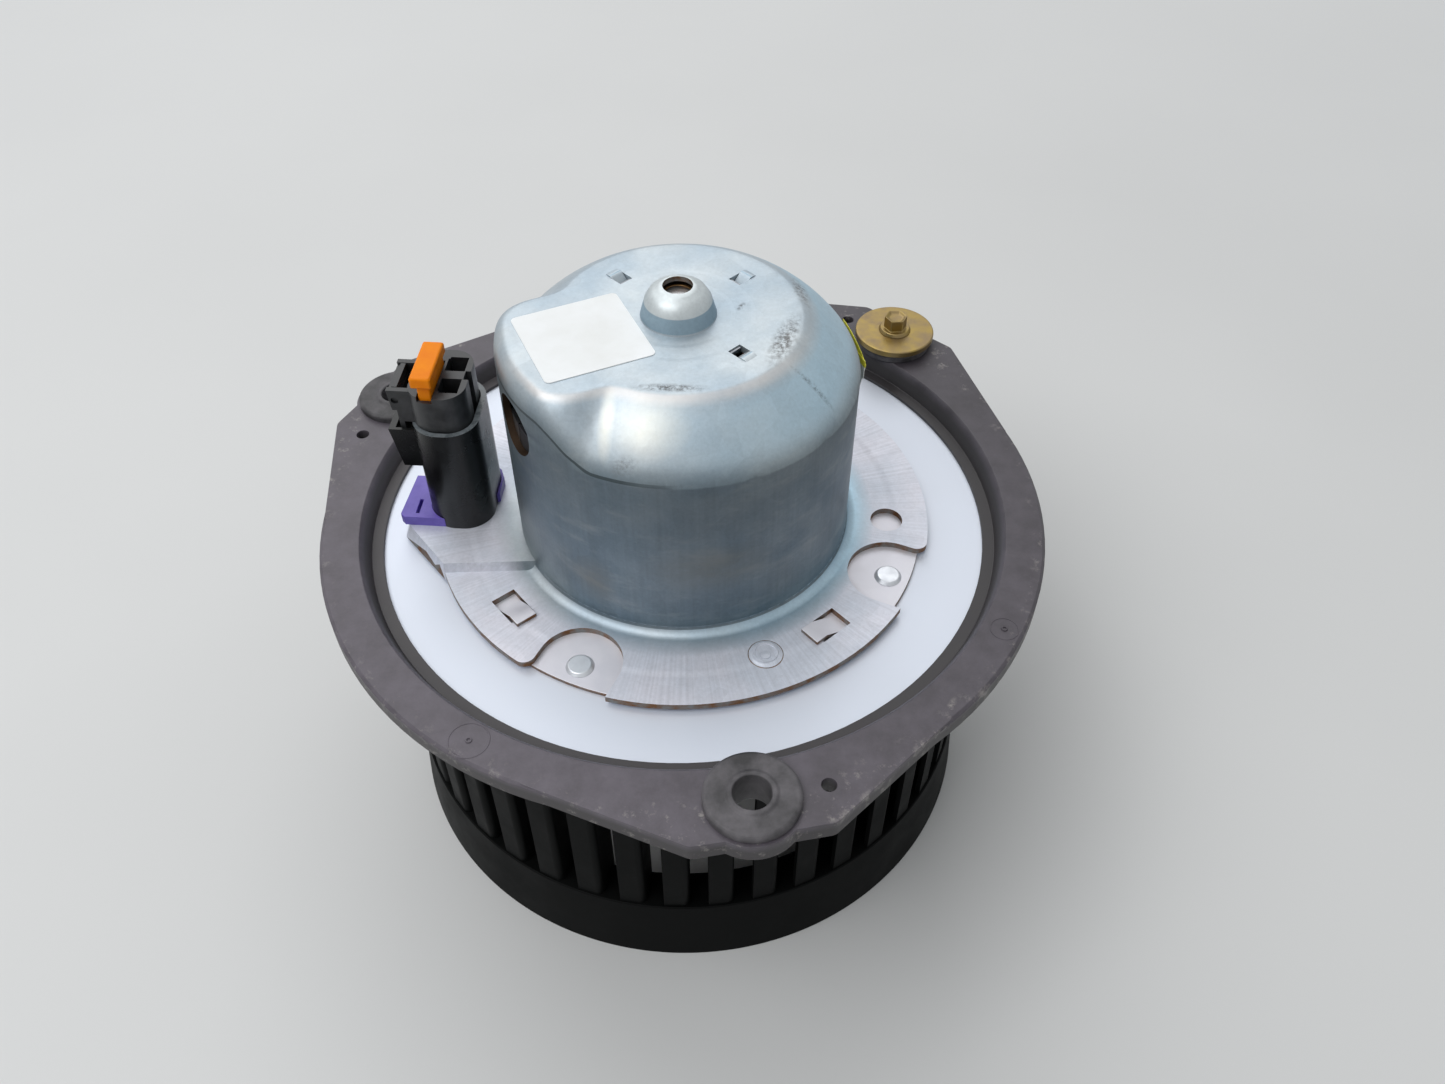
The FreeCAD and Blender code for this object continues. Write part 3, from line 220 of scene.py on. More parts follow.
def moulded(name, colour, worn, rough, cloud_mm=9.0, grain_mm=0.5, grain_depth=0.02, spread=0.09, shine=0.5):
    """A moulded finish: a colour that drifts towards its worn shade, uneven gloss and fine grain."""
    material, tree, shader, place = new_finish(name)
    cloud = add(tree, NOISE, {"Vector": place, "Scale": per_mm(cloud_mm), "Detail": 5.0, "Roughness": 0.6})
    tone, gloss = drifting(tree, cloud, 0.75, colour, worn, rough, spread)
    grain = add(tree, NOISE, {"Vector": place, "Scale": per_mm(grain_mm), "Detail": 2.0})
    relief = add(tree, "ShaderNodeBump", {"Height": grain, "Strength": 0.5, "Distance": grain_depth * MM})
    fill(shader, {"Base Color": tone, "Roughness": gloss, "Specular IOR Level": shine, "Normal": relief})
    return material


finishes = {
    # Dull dark moulding that stays near black and only sheens along the wheel's rim
    "wheel_plastic": moulded("wheel_black_polypropylene", "080909", "101111", 0.50, 14.0, 0.8, 0.015, shine=0.05),
    # Polished black that shows crisp upright highlights on the socket
    "shroud_plastic": moulded("socket_black_nylon", "0b0c0d", "151718", 0.26, 12.0, 0.6, 0.006, shine=0.35),
    # The same nylon with dust in its corners, so its top reads grey
    "plug_plastic": moulded("plug_black_nylon", "1d1e20", "3a3b3d", 0.40, 4.0, 0.4, 0.012),
    "violet_plastic": moulded("retainer_violet_nylon", "5745a8", "7666c0", 0.36, 6.0, 0.4, 0.010),
    "orange_plastic": moulded("lock_clip_orange_nylon", "ea7e04", "f39018", 0.42, 5.0, 0.4, 0.008, shine=0.12),
    # Dusty rubber, matt, with dark bare patches where fingers took the dust off
    "grommet_rubber": moulded("grommet_rubber", "2b2a2c", "6a676b", 0.60, 6.5, 0.35, 0.03),
    "nylon": moulded("washer_nylon", "d9d6c8", "e8e5da", 0.45),
    "phenolic": moulded("brown_phenolic", "4a2c1a", "5e3a24", 0.50),
    "carbon": moulded("brush_carbon", "2a2a2c", "3a3a3d", 0.60),
}
# A lighter grey for the top of the socket's rim: a painted highlight
rim_highlight = moulded("socket_rim_highlight", "555b5f", "858c90", 0.30, 3.0, 0.4, 0.01)
print("moulded finishes", len(finishes) + 1)

# %% [markdown]
# ## Plated and plain metals
# Zinc, brass and bronze mirror the room through a fine haze. A smooth mirror would look like chrome,
# so the haze varies over the surface, and fine scratches along one direction break the reflection.
# The colours are the metals' own, since a metal has no colour but its reflection's.

# %% Plated and plain metals
def metal(name, colour, other, rough, cloud_mm=8.0, spread=0.08, scratch_mm=0.5, depth=0.01,
          stretch=(1.0, 1.0, 0.05), bare=1.0):
    """A bare or plated metal: two shades, uneven haze and fine scratches stretched along one axis."""
    material, tree, shader, place = new_finish(name)
    cloud = add(tree, NOISE, {"Vector": place, "Scale": per_mm(cloud_mm), "Detail": 4.0})
    tone, haze = drifting(tree, cloud, 0.68, colour, other, rough, spread)
    along = add(tree, "ShaderNodeMapping", {"Vector": place, "Scale": stretch})
    scratch = add(tree, NOISE, {"Vector": along, "Scale": per_mm(scratch_mm), "Detail": 3.0})
    relief = add(tree, "ShaderNodeBump", {"Height": scratch, "Strength": 0.4, "Distance": depth * MM})
    fill(shader, {"Base Color": tone, "Metallic": bare, "Roughness": haze, "Normal": relief})
    return material


finishes.update({
    # Chromated zinc: a straw colour that drifts to olive and pink where the film is thicker
    "yellow_zinc_steel": metal("yellow_chromate_zinc", "9a8550", "8c7a5e", 0.42, 3.5),
    "bright_zinc_steel": metal("rivet_bright_zinc", "dcdfe4", "cccfd5", 0.36, 2.5, bare=0.7),
    "galvanised_plate_steel": metal("end_plate_galvanised", "dad9e1", "e3e2e9", 0.46, 6.0, bare=0.35),
    "spring_steel": metal("spring_steel", "7c7f84", "909398", 0.34),
    "ground_steel": metal("shaft_ground_steel", "c6c7c9", "b4b6b9", 0.22, 5.0, 0.05, 0.15, 0.004,
                          (0.05, 0.05, 1.0)),
    "brass": metal("hub_brass", "c9a55c", "b8934c", 0.32),
    "tinned_brass": metal("terminal_tin", "c2c0b8", "b1aea4", 0.36),
    "copper": metal("commutator_copper", "b96f4c", "a65f3f", 0.30),
    "enamelled_copper": metal("winding_enamelled_copper", "8f4a24", "a3582c", 0.30, 2.0, 0.05, 0.6, 0.05,
                              (0.05, 1.0, 1.0)),
    "lamination_steel": metal("armature_laminations", "5b5c60", "6c6d72", 0.42, 5.0, 0.08, 0.5, 0.03,
                              (0.05, 0.05, 1.0)),
    "sintered_bronze": metal("bush_sintered_bronze", "7b5f3f", "654c31", 0.46, 1.5),
    "ferrite": metal("magnet_ferrite", "3b3b3e", "48484c", 0.55, 4.0),
})
print("finishes so far", len(finishes))

# %% [markdown]
# ## Marks
# Dirt and scuffs sit where something touched the part, so they can't come from an even noise. Each is
# an oval, placed in millimetres and turned. An oval alone would look like paint, so a fine noise
# breaks it up.

# %% Marks
def smudge(tree, place, centre, turn, length, width, tall=8.0):
    """1 at a mark's middle and 0 past its edge, for an oval mark whose sizes are in millimetres."""
    local = add(tree, "ShaderNodeMapping", {
        "Vector": place, "Location": [c * MM for c in centre], "Rotation": (0.0, 0.0, math.radians(turn)),
        "Scale": (length * MM, width * MM, tall * MM)}, vector_type="TEXTURE")
    far = add(tree, "ShaderNodeVectorMath", {0: local}, operation="LENGTH")
    return add(tree, RANGE, {"Value": far, "From Min": 0.2, "From Max": 1.0, "To Min": 1.0, "To Max": 0.0})


def marked(tree, place, broken, rows):
    """The strongest of several smudges at each point, each broken up by a noise."""
    strongest = 0.0
    for row in rows:
        mark = add(tree, MATH, {0: smudge(tree, place, *row), 1: broken}, operation="MULTIPLY")
        strongest = add(tree, MATH, {0: mark, 1: strongest}, operation="MAXIMUM")
    return strongest


FLANGE_TOP = 86.7
# The centre, turn in degrees, length and width of each mark
# Of the dirt marks, the one at (-11.3, -36.1, 127) in the crease is a painted shadow
can_dirt_and_crease_shadow = (((22.0, -10.0, 142.0), 69.0, 11.0, 3.0), ((-2.0, -25.0, 142.0), -4.0, 9.0, 1.5),
            ((28.2, -20.0, 138.0), -22.0, 8.0, 0.9), ((-11.3, -36.1, 127.0), -9.0, 4.5, 2.0),
            ((27.0, 9.0, 141.0), 95.0, 8.0, 2.2), ((13.5, 2.0, 142.0), 60.0, 2.0, 0.8))
warm_patches = (((6.0, -39.5, 104.0), 0.0, 17.0, 9.0), ((-20.0, -34.0, 96.0), 30.0, 9.0, 6.0))
pale_patches = (((-6.0, -31.0, 136.0), 4.0, 9.0, 7.0), ((-15.0, -30.0, 137.0), 80.0, 9.0, 2.0))
flange_scuffs = [((x, y, FLANGE_TOP), turn, length, width) for x, y, turn, length, width in (
    (35.0, -86.0, 40.0, 4.0, 1.4), (39.0, -82.0, 50.0, 3.0, 1.0), (48.0, -74.0, 30.0, 3.5, 1.3),
    (55.0, -65.0, 60.0, 3.0, 1.0), (63.0, -61.0, 45.0, 3.2, 1.0), (78.0, -36.0, 70.0, 3.0, 1.0),
    (76.0, -43.5, 60.0, 3.0, 1.0), (28.0, -90.5, 20.0, 4.0, 1.2))]
can_marks = len(can_dirt_and_crease_shadow) + len(warm_patches) + len(pale_patches)
print("marks on the can", can_marks, "on the flange", len(flange_scuffs))

# %% [markdown]
# ## The can's galvanised sheet
# The can is pressed from zinc-coated sheet. Its crown keeps a pale bluish bloom. The press ironed its
# wall thinner and left upright drawing lines on it. The wall's darker colour is painted shade, for the
# darker room that an upright face mirrors, and the brim is bright with a pink tinge. Three materials
# would leave hard borders, so one material holds all three and masks blend them. The wall is what
# stands upright below the crease under the crown. The lobe at the left lifts that crease, so its
# height follows the angle from the lobe's middle. The brim is what lies far from the shaft.

# %% Where the can's wall and brim are
CREASE, LOBE_CREASE = 128.5, 135.5
LOBE_AZIMUTH, LOBE_TOP_ANGLE, LOBE_END_ANGLE = 200.0, 21.0, 43.0
BRIM_START, BRIM_FULL = 42.5, 47.0


def from_shaft(tree, place):
    """The X, Y and Z of the place on the piece, and its distance from the shaft."""
    x, y, z = add(tree, "ShaderNodeSeparateXYZ", {"Vector": place}).outputs
    flat = add(tree, "ShaderNodeCombineXYZ", {"X": x, "Y": y})
    return x, y, z, add(tree, "ShaderNodeVectorMath", {0: flat}, operation="LENGTH")


can_sheet, tree, shader, place = new_finish("can_galvanised_sheet")
east, north, height, reach = from_shaft(tree, place)
facing = add(tree, "ShaderNodeNewGeometry", {}).outputs["True Normal"]
level = add(tree, "ShaderNodeSeparateXYZ", {"Vector": facing}).outputs["Z"]
upright = add(tree, RANGE, {"Value": level, "From Min": 0.6, "From Max": 0.4})
turned = add(tree, "ShaderNodeMapping", {
    "Vector": place, "Rotation": (0.0, 0.0, math.radians(360.0 - LOBE_AZIMUTH))})
turned = add(tree, "ShaderNodeSeparateXYZ", {"Vector": turned})
lobe = add(tree, MATH, {0: turned.outputs["Y"], 1: turned.outputs["X"]}, operation="ARCTAN2")
lobe = add(tree, MATH, {0: lobe}, operation="ABSOLUTE")
crease = add(tree, RANGE, {
    "Value": lobe, "From Min": math.radians(LOBE_END_ANGLE), "From Max": math.radians(LOBE_TOP_ANGLE),
    "To Min": CREASE * MM, "To Max": LOBE_CREASE * MM}, interpolation_type="SMOOTHSTEP")
over = add(tree, MATH, {0: height, 1: crease}, operation="SUBTRACT")
under = add(tree, RANGE, {"Value": over, "From Min": 0.5 * MM, "From Max": -0.2 * MM})
wall = add(tree, MATH, {0: under, 1: upright}, operation="MULTIPLY")
# Painted shade: above the crease the wall's darker colour fades out over 6 mm of shoulder
shoulder_shade = add(tree, RANGE, {"Value": over, "From Min": 6.0 * MM, "From Max": 0.0, "To Max": 0.95},
           interpolation_type="SMOOTHSTEP")
above = add(tree, MATH, {0: over, 1: -0.2 * MM}, operation="GREATER_THAN")
shoulder_shade = add(tree, MATH, {0: shoulder_shade, 1: above}, operation="MULTIPLY")
wall = add(tree, MATH, {0: wall, 1: shoulder_shade}, operation="MAXIMUM")
brim = add(tree, RANGE, {"Value": reach, "From Min": BRIM_START * MM, "From Max": BRIM_FULL * MM})
print("crease at", CREASE, "to", LOBE_CREASE, "mm, can sheet:", len(tree.nodes), "nodes")

# %% [markdown]
# ### The can's colours
# Zinc is never one shade, so the crown, the wall and the brim each drift between two, and the wall's
# darker pair is painted shade. Over them lie a painted shade on the boss's foot, a painted highlight on
# its cap, and a painted reflection of the sky: a blue cast on the shoulder that grows towards the right.
# These could be faces with a finish each, but then every border would follow the mesh. Last, a cell
# pattern and a fine grain give the crystals that the zinc bath leaves.

# %% The can's colours
patches = add(tree, NOISE, {"Vector": place, "Scale": per_mm(24), "Detail": 4.0, "Roughness": 0.55})
share = add(tree, RANGE, {"Value": patches, "From Min": 0.38, "From Max": 0.66})


def two_tone(first, second):
    """A colour that drifts between two shades of zinc over the sheet."""
    return add(tree, MIX, {FACTOR: share, FIRST: srgb(first), SECOND: srgb(second)}, data_type="RGBA")


# Painted shade on the boss's lower foot and a painted highlight on its upper cap
boss_foot_shade = add(tree, MATH, {0: height, 1: 143.9 * MM, 2: 1.6 * MM}, operation="COMPARE")
boss_foot_shade = add(tree, MATH, {0: boss_foot_shade, 1: 0.85}, operation="MULTIPLY")
boss_cap_highlight = add(tree, RANGE, {"Value": height, "From Min": 145.45 * MM, "From Max": 145.6 * MM, "To Max": 0.7})
# A painted reflection of the sky: a blue cast on the shoulder, stronger towards the right
right = add(tree, RANGE, {"Value": east, "From Min": -8 * MM, "From Max": 28 * MM, "To Max": 0.7})
sky_reflection = add(tree, RANGE, {"Value": height, "From Min": 141.2 * MM, "From Max": 139.5 * MM})
sky_reflection = add(tree, MATH, {0: sky_reflection, 1: right}, operation="MULTIPLY")
for mask in (wall, brim):
    sky_reflection = add(tree, MIX, {FACTOR: mask, FIRST_NUMBER: sky_reflection, SECOND_NUMBER: 0.0})
sheet = two_tone("a3b0ba", "b7bec2")
# The wall's darker pair of shades is painted shade
for mask, colour in ((wall, two_tone("6c7a83", "848e93")), (brim, two_tone("ced3de", "dbdae3")),
                     (boss_foot_shade, srgb("8da4b2")), (boss_cap_highlight, srgb("ced3d3")), (sky_reflection, srgb("a8c5d5"))):
    sheet = add(tree, MIX, {FACTOR: mask, FIRST: sheet, SECOND: colour}, data_type="RGBA")
crystals = add(tree, "ShaderNodeTexVoronoi", {"Vector": place, "Scale": per_mm(4.5), "Randomness": 1.0})
sparkle = add(tree, RANGE, {"Value": crystals.outputs["Color"], "To Min": 0.95, "To Max": 1.04})
grain = add(tree, NOISE, {"Vector": place, "Scale": per_mm(0.8), "Detail": 3.0, "Roughness": 0.7})
sparkle = add(tree, MATH, {0: grain, 1: 0.30, 2: sparkle}, operation="MULTIPLY_ADD")
sparkle = add(tree, MATH, {0: sparkle, 1: -0.15}, operation="ADD")
sheet = add(tree, "ShaderNodeHueSaturation", {"Color": sheet, "Value": sparkle})
print("can sheet with its colours:", len(tree.nodes), "nodes")

# %% [markdown]
# ### Drawing lines and brushed rays
# Noise stretched along Z makes the wall's upright lines, and noise of the angle about the shaft makes
# the brim's rays. Scratches could be carved, but thousands of them are finer than any mesh. Both move
# the colour here and the surface later, because a scratch in zinc is a shade as well as a groove.

# %% Drawing lines and brushed rays
tall = add(tree, "ShaderNodeMapping", {"Vector": place, "Scale": (1.0, 1.0, 0.025)})
lines = add(tree, NOISE, {"Vector": tall, "Scale": per_mm(1.0), "Detail": 5.0})
lines = add(tree, MATH, {0: lines, 1: wall}, operation="MULTIPLY")
angle = add(tree, MATH, {0: north, 1: east}, operation="ARCTAN2")
rays = add(tree, NOISE, {"W": angle, "Scale": 70.0, "Detail": 5.0}, noise_dimensions="1D")
rays = add(tree, MATH, {0: rays, 1: brim}, operation="MULTIPLY")
shades = []
for streaks, mask, darkest in ((lines, wall, 0.95), (rays, brim, 0.93)):
    shade = add(tree, RANGE, {"Value": streaks, "From Min": 0.3, "From Max": 0.7,
                              "To Min": darkest, "To Max": 1.06})
    shades.append(add(tree, MIX, {FACTOR: mask, FIRST_NUMBER: 1.0, SECOND_NUMBER: shade}))
shade = add(tree, MATH, {0: shades[0], 1: shades[1]}, operation="MULTIPLY")
sheet = add(tree, "ShaderNodeHueSaturation", {"Color": sheet, "Value": shade})
print("can sheet with its lines:", len(tree.nodes), "nodes")

# %% [markdown]
# ### Smears, wear, dirt and painted crease shade on the can
# Hands left smears on the wall, which noise squeezed along Z draws. A dark line of painted shade lies
# in the crease near the lobe, the crown's front edge is rubbed bright, and dirt sits at the marks placed
# above, one of which is a painted shadow in the crease. A painted picture could hold all this. Masks
# stay sharp at any distance, and each lays one colour over the sheet in turn.

# %% Smears, wear, dirt and painted crease shade
squat = add(tree, "ShaderNodeMapping", {"Vector": place, "Scale": (0.5, 0.5, 1.6)})
smears = add(tree, NOISE, {"Vector": squat, "Scale": per_mm(6), "Detail": 6.0, "Roughness": 0.65})
rubbed = add(tree, RANGE, {"Value": smears, "From Min": 0.52, "From Max": 0.78, "To Max": 0.45})
rubbed = add(tree, MATH, {0: rubbed, 1: wall}, operation="MULTIPLY")
# Painted shade: a dark line in the crease near the lobe
crease_shade = add(tree, MATH, {0: over, 1: 0.1 * MM, 2: 0.38 * MM}, operation="COMPARE")
left = add(tree, RANGE, {"Value": lobe, "From Min": math.radians(70), "From Max": math.radians(52),
                         "To Max": 0.8})
crease_shade = add(tree, MATH, {0: crease_shade, 1: left}, operation="MULTIPLY")
warm = add(tree, MATH, {0: marked(tree, place, smears, warm_patches), 1: 0.9}, operation="MULTIPLY")
# The crown's edge is a band of heights, and it is worn in front only
bands = [add(tree, RANGE, {"Value": value, "From Min": none * MM, "From Max": full * MM})
         for value, none, full in ((height, 140.4, 141.3), (height, 141.97, 141.7), (north, -12, -24))]
worn = bands[0]
for band in bands[1:] + [patches]:
    worn = add(tree, MATH, {0: worn, 1: band}, operation="MULTIPLY")
speckle = add(tree, NOISE, {"Vector": place, "Scale": per_mm(1.1), "Detail": 6.0, "Roughness": 0.75})
stain = add(tree, NOISE, {"Vector": place, "Scale": per_mm(11), "Detail": 5.0, "Roughness": 0.6})
pale = add(tree, MATH, {0: marked(tree, place, stain, pale_patches), 1: 0.9}, operation="MULTIPLY")
broken = add(tree, RANGE, {"Value": speckle, "From Min": 0.42, "From Max": 0.62})
spots = add(tree, RANGE, {"Value": speckle, "From Min": 0.62, "From Max": 0.74})
grime = add(tree, RANGE, {"Value": stain, "From Min": 0.55, "From Max": 0.75})
# Dirt, and at one mark a painted shadow in the crease
dirt_and_crease_shadow = add(tree, MATH, {0: spots, 1: grime}, operation="MULTIPLY")
dirt_and_crease_shadow = add(tree, MATH, {0: dirt_and_crease_shadow, 1: marked(tree, place, broken, can_dirt_and_crease_shadow)}, operation="MAXIMUM")
dirt_and_crease_shadow = add(tree, MATH, {0: dirt_and_crease_shadow, 1: 0.62}, operation="MULTIPLY")
for mask, colour in ((rubbed, "a3a8a6"), (crease_shade, "3c4548"), (warm, "7c7b74"), (worn, "dcd6d2"),
                     (pale, "e6e0cf"), (dirt_and_crease_shadow, "5c4a3a")):
    sheet = add(tree, MIX, {FACTOR: mask, FIRST: sheet, SECOND: srgb(colour)}, data_type="RGBA")
print("can sheet with its marks:", len(tree.nodes), "nodes")

# %% [markdown]
# ### The can's relief and haze
# The press left two very low steps round the boss and one on the brim. They are too low to model, so
# they are steps of distance from the shaft in the bump, which also carries the lines and the rays.
# Haze sets how sharply the zinc mirrors: dirt is dull, and the ironed wall is a little shinier than
# the crown. The brim's bright coat is the least like a mirror, so it is the least metallic.

# %% The can's relief and haze
inner = add(tree, RANGE, {"Value": reach, "From Min": 11.2 * MM, "From Max": 12.2 * MM})
outer = add(tree, RANGE, {"Value": reach, "From Min": 15.6 * MM, "From Max": 16.6 * MM})
lowest = add(tree, RANGE, {"Value": reach, "From Min": 50.6 * MM, "From Max": 53.0 * MM,
                           "To Min": 2.6, "To Max": 0.0}, interpolation_type="SMOOTHSTEP")
steps = add(tree, MATH, {0: inner, 1: outer}, operation="ADD")
steps = add(tree, MATH, {0: steps, 1: lowest}, operation="ADD")
steps = add(tree, "ShaderNodeBump", {"Height": steps, "Strength": 1.0, "Distance": 0.06 * MM})
relief = add(tree, MATH, {0: lines, 1: 0.5, 2: rays}, operation="MULTIPLY_ADD")
relief = add(tree, MATH, {0: grain, 1: 0.35, 2: relief}, operation="MULTIPLY_ADD")
bump = add(tree, "ShaderNodeBump", {"Height": relief, "Strength": 0.35, "Distance": 0.05 * MM, "Normal": steps})
haze = add(tree, RANGE, {"Value": patches, "From Min": 0.3, "From Max": 0.7, "To Min": 0.54, "To Max": 0.47})
haze = add(tree, MATH, {0: wall, 1: -0.09, 2: haze}, operation="MULTIPLY_ADD")
haze = add(tree, MATH, {0: haze, 1: dirt_and_crease_shadow}, operation="ADD")
bare = add(tree, MATH, {0: brim, 1: -0.5, 2: 0.85}, operation="MULTIPLY_ADD")
fill(shader, {"Base Color": sheet, "Metallic": bare, "Roughness": haze, "Normal": bump})
finishes["galvanised_can_steel"] = can_sheet
# Brown varnish that drips inside a motor, darkened as a painted shade so it reads as a hollow through the windows
inside_varnish_and_shade = metal("can_inside_varnish", "3a2e26", "4a3c30", 0.55, 5.0, 0.08, 0.6, 0.03, (1.0, 1.0, 0.1))
print("can sheet:", len(tree.nodes), "nodes")

# %% [markdown]
# ## The plate
# The plate under the motor has bright bluish zinc with almost no texture. The rivets' finish with its
# scratches would be too lively for it, so only a slow cloud moves its colour and its soft haze.

# %% The plate
plate_zinc, tree, shader, place = new_finish("plate_white_zinc")
cloud = add(tree, NOISE, {"Vector": place, "Scale": per_mm(22), "Detail": 4.0})
tone = add(tree, MIX, {FACTOR: cloud, FIRST: srgb("d3d9e5"), SECOND: srgb("dce1eb")}, data_type="RGBA")
dust = add(tree, NOISE, {"Vector": place, "Scale": per_mm(1.2), "Detail": 5.0})
haze = add(tree, RANGE, {"Value": cloud, "From Min": 0.3, "From Max": 0.7, "To Min": 0.46, "To Max": 0.56})
relief = add(tree, "ShaderNodeBump", {"Height": dust, "Strength": 0.2, "Distance": 0.01 * MM})
fill(shader, {"Base Color": tone, "Metallic": 0.4, "Roughness": haze, "Normal": relief})
finishes["white_zinc_steel"] = plate_zinc
print("plate finish", len(tree.nodes), "nodes")

# %% [markdown]
# ## The flange
# The grey ring is old plastic: mottled and rubbed whitish along its outer edge. Its sunk lip is dark
# with dirt and painted shade, painted shade makes it darker still deep inside, and painted light and
# shade make it lighter towards the front left and darker towards the right and the rear. A picture would
# need unwrapping first. Here distance from the shaft finds the edge, height finds the lip, and a
# direction across the ring carries the painted light and shade.

# %% The flange
# The direction across the ring along which painted shade deepens, away from the lamp side
SHADE_DIRECTION = (0.8, 0.6, 0.0)
INSIDE_RADIUS = 74.0
ring_plastic, tree, shader, place = new_finish("flange_worn_plastic")
height, reach = from_shaft(tree, place)[2:]
mottle = add(tree, NOISE, {"Vector": place, "Scale": per_mm(7), "Detail": 6.0, "Roughness": 0.65})
share = add(tree, RANGE, {"Value": mottle, "From Min": 0.35, "From Max": 0.7})
# Dirt and painted shade darken the sunk lip
sunk = add(tree, RANGE, {"Value": height, "From Min": 86.3 * MM, "From Max": 84.6 * MM, "To Max": 0.75})
across = add(tree, "ShaderNodeVectorMath", {0: place, 1: SHADE_DIRECTION}, operation="DOT_PRODUCT")
side_shade = add(tree, RANGE, {"Value": across, "From Min": -60 * MM, "From Max": 85 * MM,
                         "To Min": 1.12, "To Max": 0.66})
# Painted shade deep inside the ring
deep_shade = add(tree, RANGE, {"Value": height, "From Min": 82 * MM, "From Max": 80 * MM})
inside = add(tree, MATH, {0: reach, 1: INSIDE_RADIUS * MM}, operation="LESS_THAN")
deep_shade = add(tree, MATH, {0: deep_shade, 1: inside}, operation="MULTIPLY")
rubs = add(tree, NOISE, {"Vector": place, "Scale": per_mm(3.2), "Detail": 7.0, "Roughness": 0.75})
rubbed = add(tree, RANGE, {"Value": rubs, "From Min": 0.56, "From Max": 0.68})
edge = add(tree, RANGE, {"Value": reach, "From Min": 83.5 * MM, "From Max": 88.5 * MM})
rubbed = add(tree, MATH, {0: rubbed, 1: edge}, operation="MULTIPLY")
broken = add(tree, RANGE, {"Value": rubs, "From Min": 0.46, "From Max": 0.58})
scuffs = marked(tree, place, broken, flange_scuffs)
rubbed = add(tree, MATH, {0: rubbed, 1: scuffs}, operation="MAXIMUM")
rubbed = add(tree, MATH, {0: rubbed, 1: 0.6}, operation="MULTIPLY")
tone = srgb("464148")
for mask, colour in ((share, "5e5961"), (sunk, "2c2a29")):
    tone = add(tree, MIX, {FACTOR: mask, FIRST: tone, SECOND: srgb(colour)}, data_type="RGBA")
tone = add(tree, "ShaderNodeHueSaturation", {"Color": tone, "Value": side_shade})
for mask, colour in ((deep_shade, "141313"), (rubbed, "a29d99")):
    tone = add(tree, MIX, {FACTOR: mask, FIRST: tone, SECOND: srgb(colour)}, data_type="RGBA")
grain = add(tree, NOISE, {"Vector": place, "Scale": per_mm(0.35), "Detail": 2.0})
relief = add(tree, "ShaderNodeBump", {"Height": grain, "Strength": 0.5, "Distance": 0.03 * MM})
gloss = add(tree, RANGE, {"Value": mottle, "From Min": 0.3, "From Max": 0.7, "To Min": 0.42, "To Max": 0.56})
fill(shader, {"Base Color": tone, "Roughness": gloss, "Normal": relief})
finishes["flange_plastic"] = ring_plastic
print("flange finish", len(tree.nodes), "nodes")

# %% [markdown]
# ## The labels and the cut edges
# The white label is bare film. The sticker on the can's side is yellow, and white in its lower half in
# front. Two pieces of film could carry the two colours, but one finish that asks where a point lies
# keeps the sticker whole. Where the can's sheet was cut it has no zinc, so a brown, broken finish
# waits for those edges.

# %% The labels and the cut edges
WHITE_BEFORE, WHITE_BELOW = 4.5, 124.2
finishes["label_film"] = moulded("label_white_film", "eceff1", "e2e4e3", 0.42, 12.0, 0.6, 0.006, 0.05)

film, tree, shader, place = new_finish("sticker_yellow_film")
axes = add(tree, "ShaderNodeSeparateXYZ", {"Vector": place})
front = add(tree, MATH, {0: axes.outputs["Y"], 1: WHITE_BEFORE * MM}, operation="LESS_THAN")
low = add(tree, MATH, {0: axes.outputs["Z"], 1: WHITE_BELOW * MM}, operation="LESS_THAN")
white = add(tree, MATH, {0: front, 1: low}, operation="MULTIPLY")
cloud = add(tree, NOISE, {"Vector": place, "Scale": per_mm(5), "Detail": 4.0})
tone = srgb("e6df2e")
for mask, colour in ((cloud, "efe95c"), (white, "e9ebe6")):
    tone = add(tree, MIX, {FACTOR: mask, FIRST: tone, SECOND: srgb(colour)}, data_type="RGBA")
fill(shader, {"Base Color": tone, "Roughness": 0.38})
finishes["yellow_film"] = film
rusty = metal("rusty_cut_edge", "7a5638", "8e8f8d", 0.55, 2.2, 0.1, 0.3, 0.03, (1.0, 1.0, 1.0))
print("finishes", len(finishes), "missing", sorted(set(slot_of_node.values()) - set(finishes)))

# %% [markdown]
# ## Giving the CAD pieces their looks
# Pieces that nobody sees keep their CAD mesh and take a finish on it. A CAD mesh is loose triangles
# with hard borders, which shows on curved steel. Each piece that shows is therefore dressed as a
# copy: its corners are merged, its flat faces made whole, its curves shaded smooth, and its sharp
# edges rounded a little, because a real edge always catches a line of light. Large flat faces then
# set the shading next to them, or a flat brim would look dented beside its curves.

# %% Giving the CAD pieces their looks
def clean_copy(node):
    """A CAD node's mesh with its corners merged and its flat faces made whole."""
    mesh = nodes[node].data.copy()
    mesh.materials.clear()
    if "custom_normal" in mesh.attributes:
        mesh.attributes.remove(mesh.attributes["custom_normal"])
    form = bmesh.new()
    form.from_mesh(mesh)
    bmesh.ops.remove_doubles(form, verts=form.verts, dist=0.002 * MM)
    bmesh.ops.dissolve_limit(form, angle_limit=math.radians(0.3), verts=form.verts, edges=form.edges)
    form.to_mesh(mesh)
    form.free()
    return mesh


SHARP = math.radians(33)


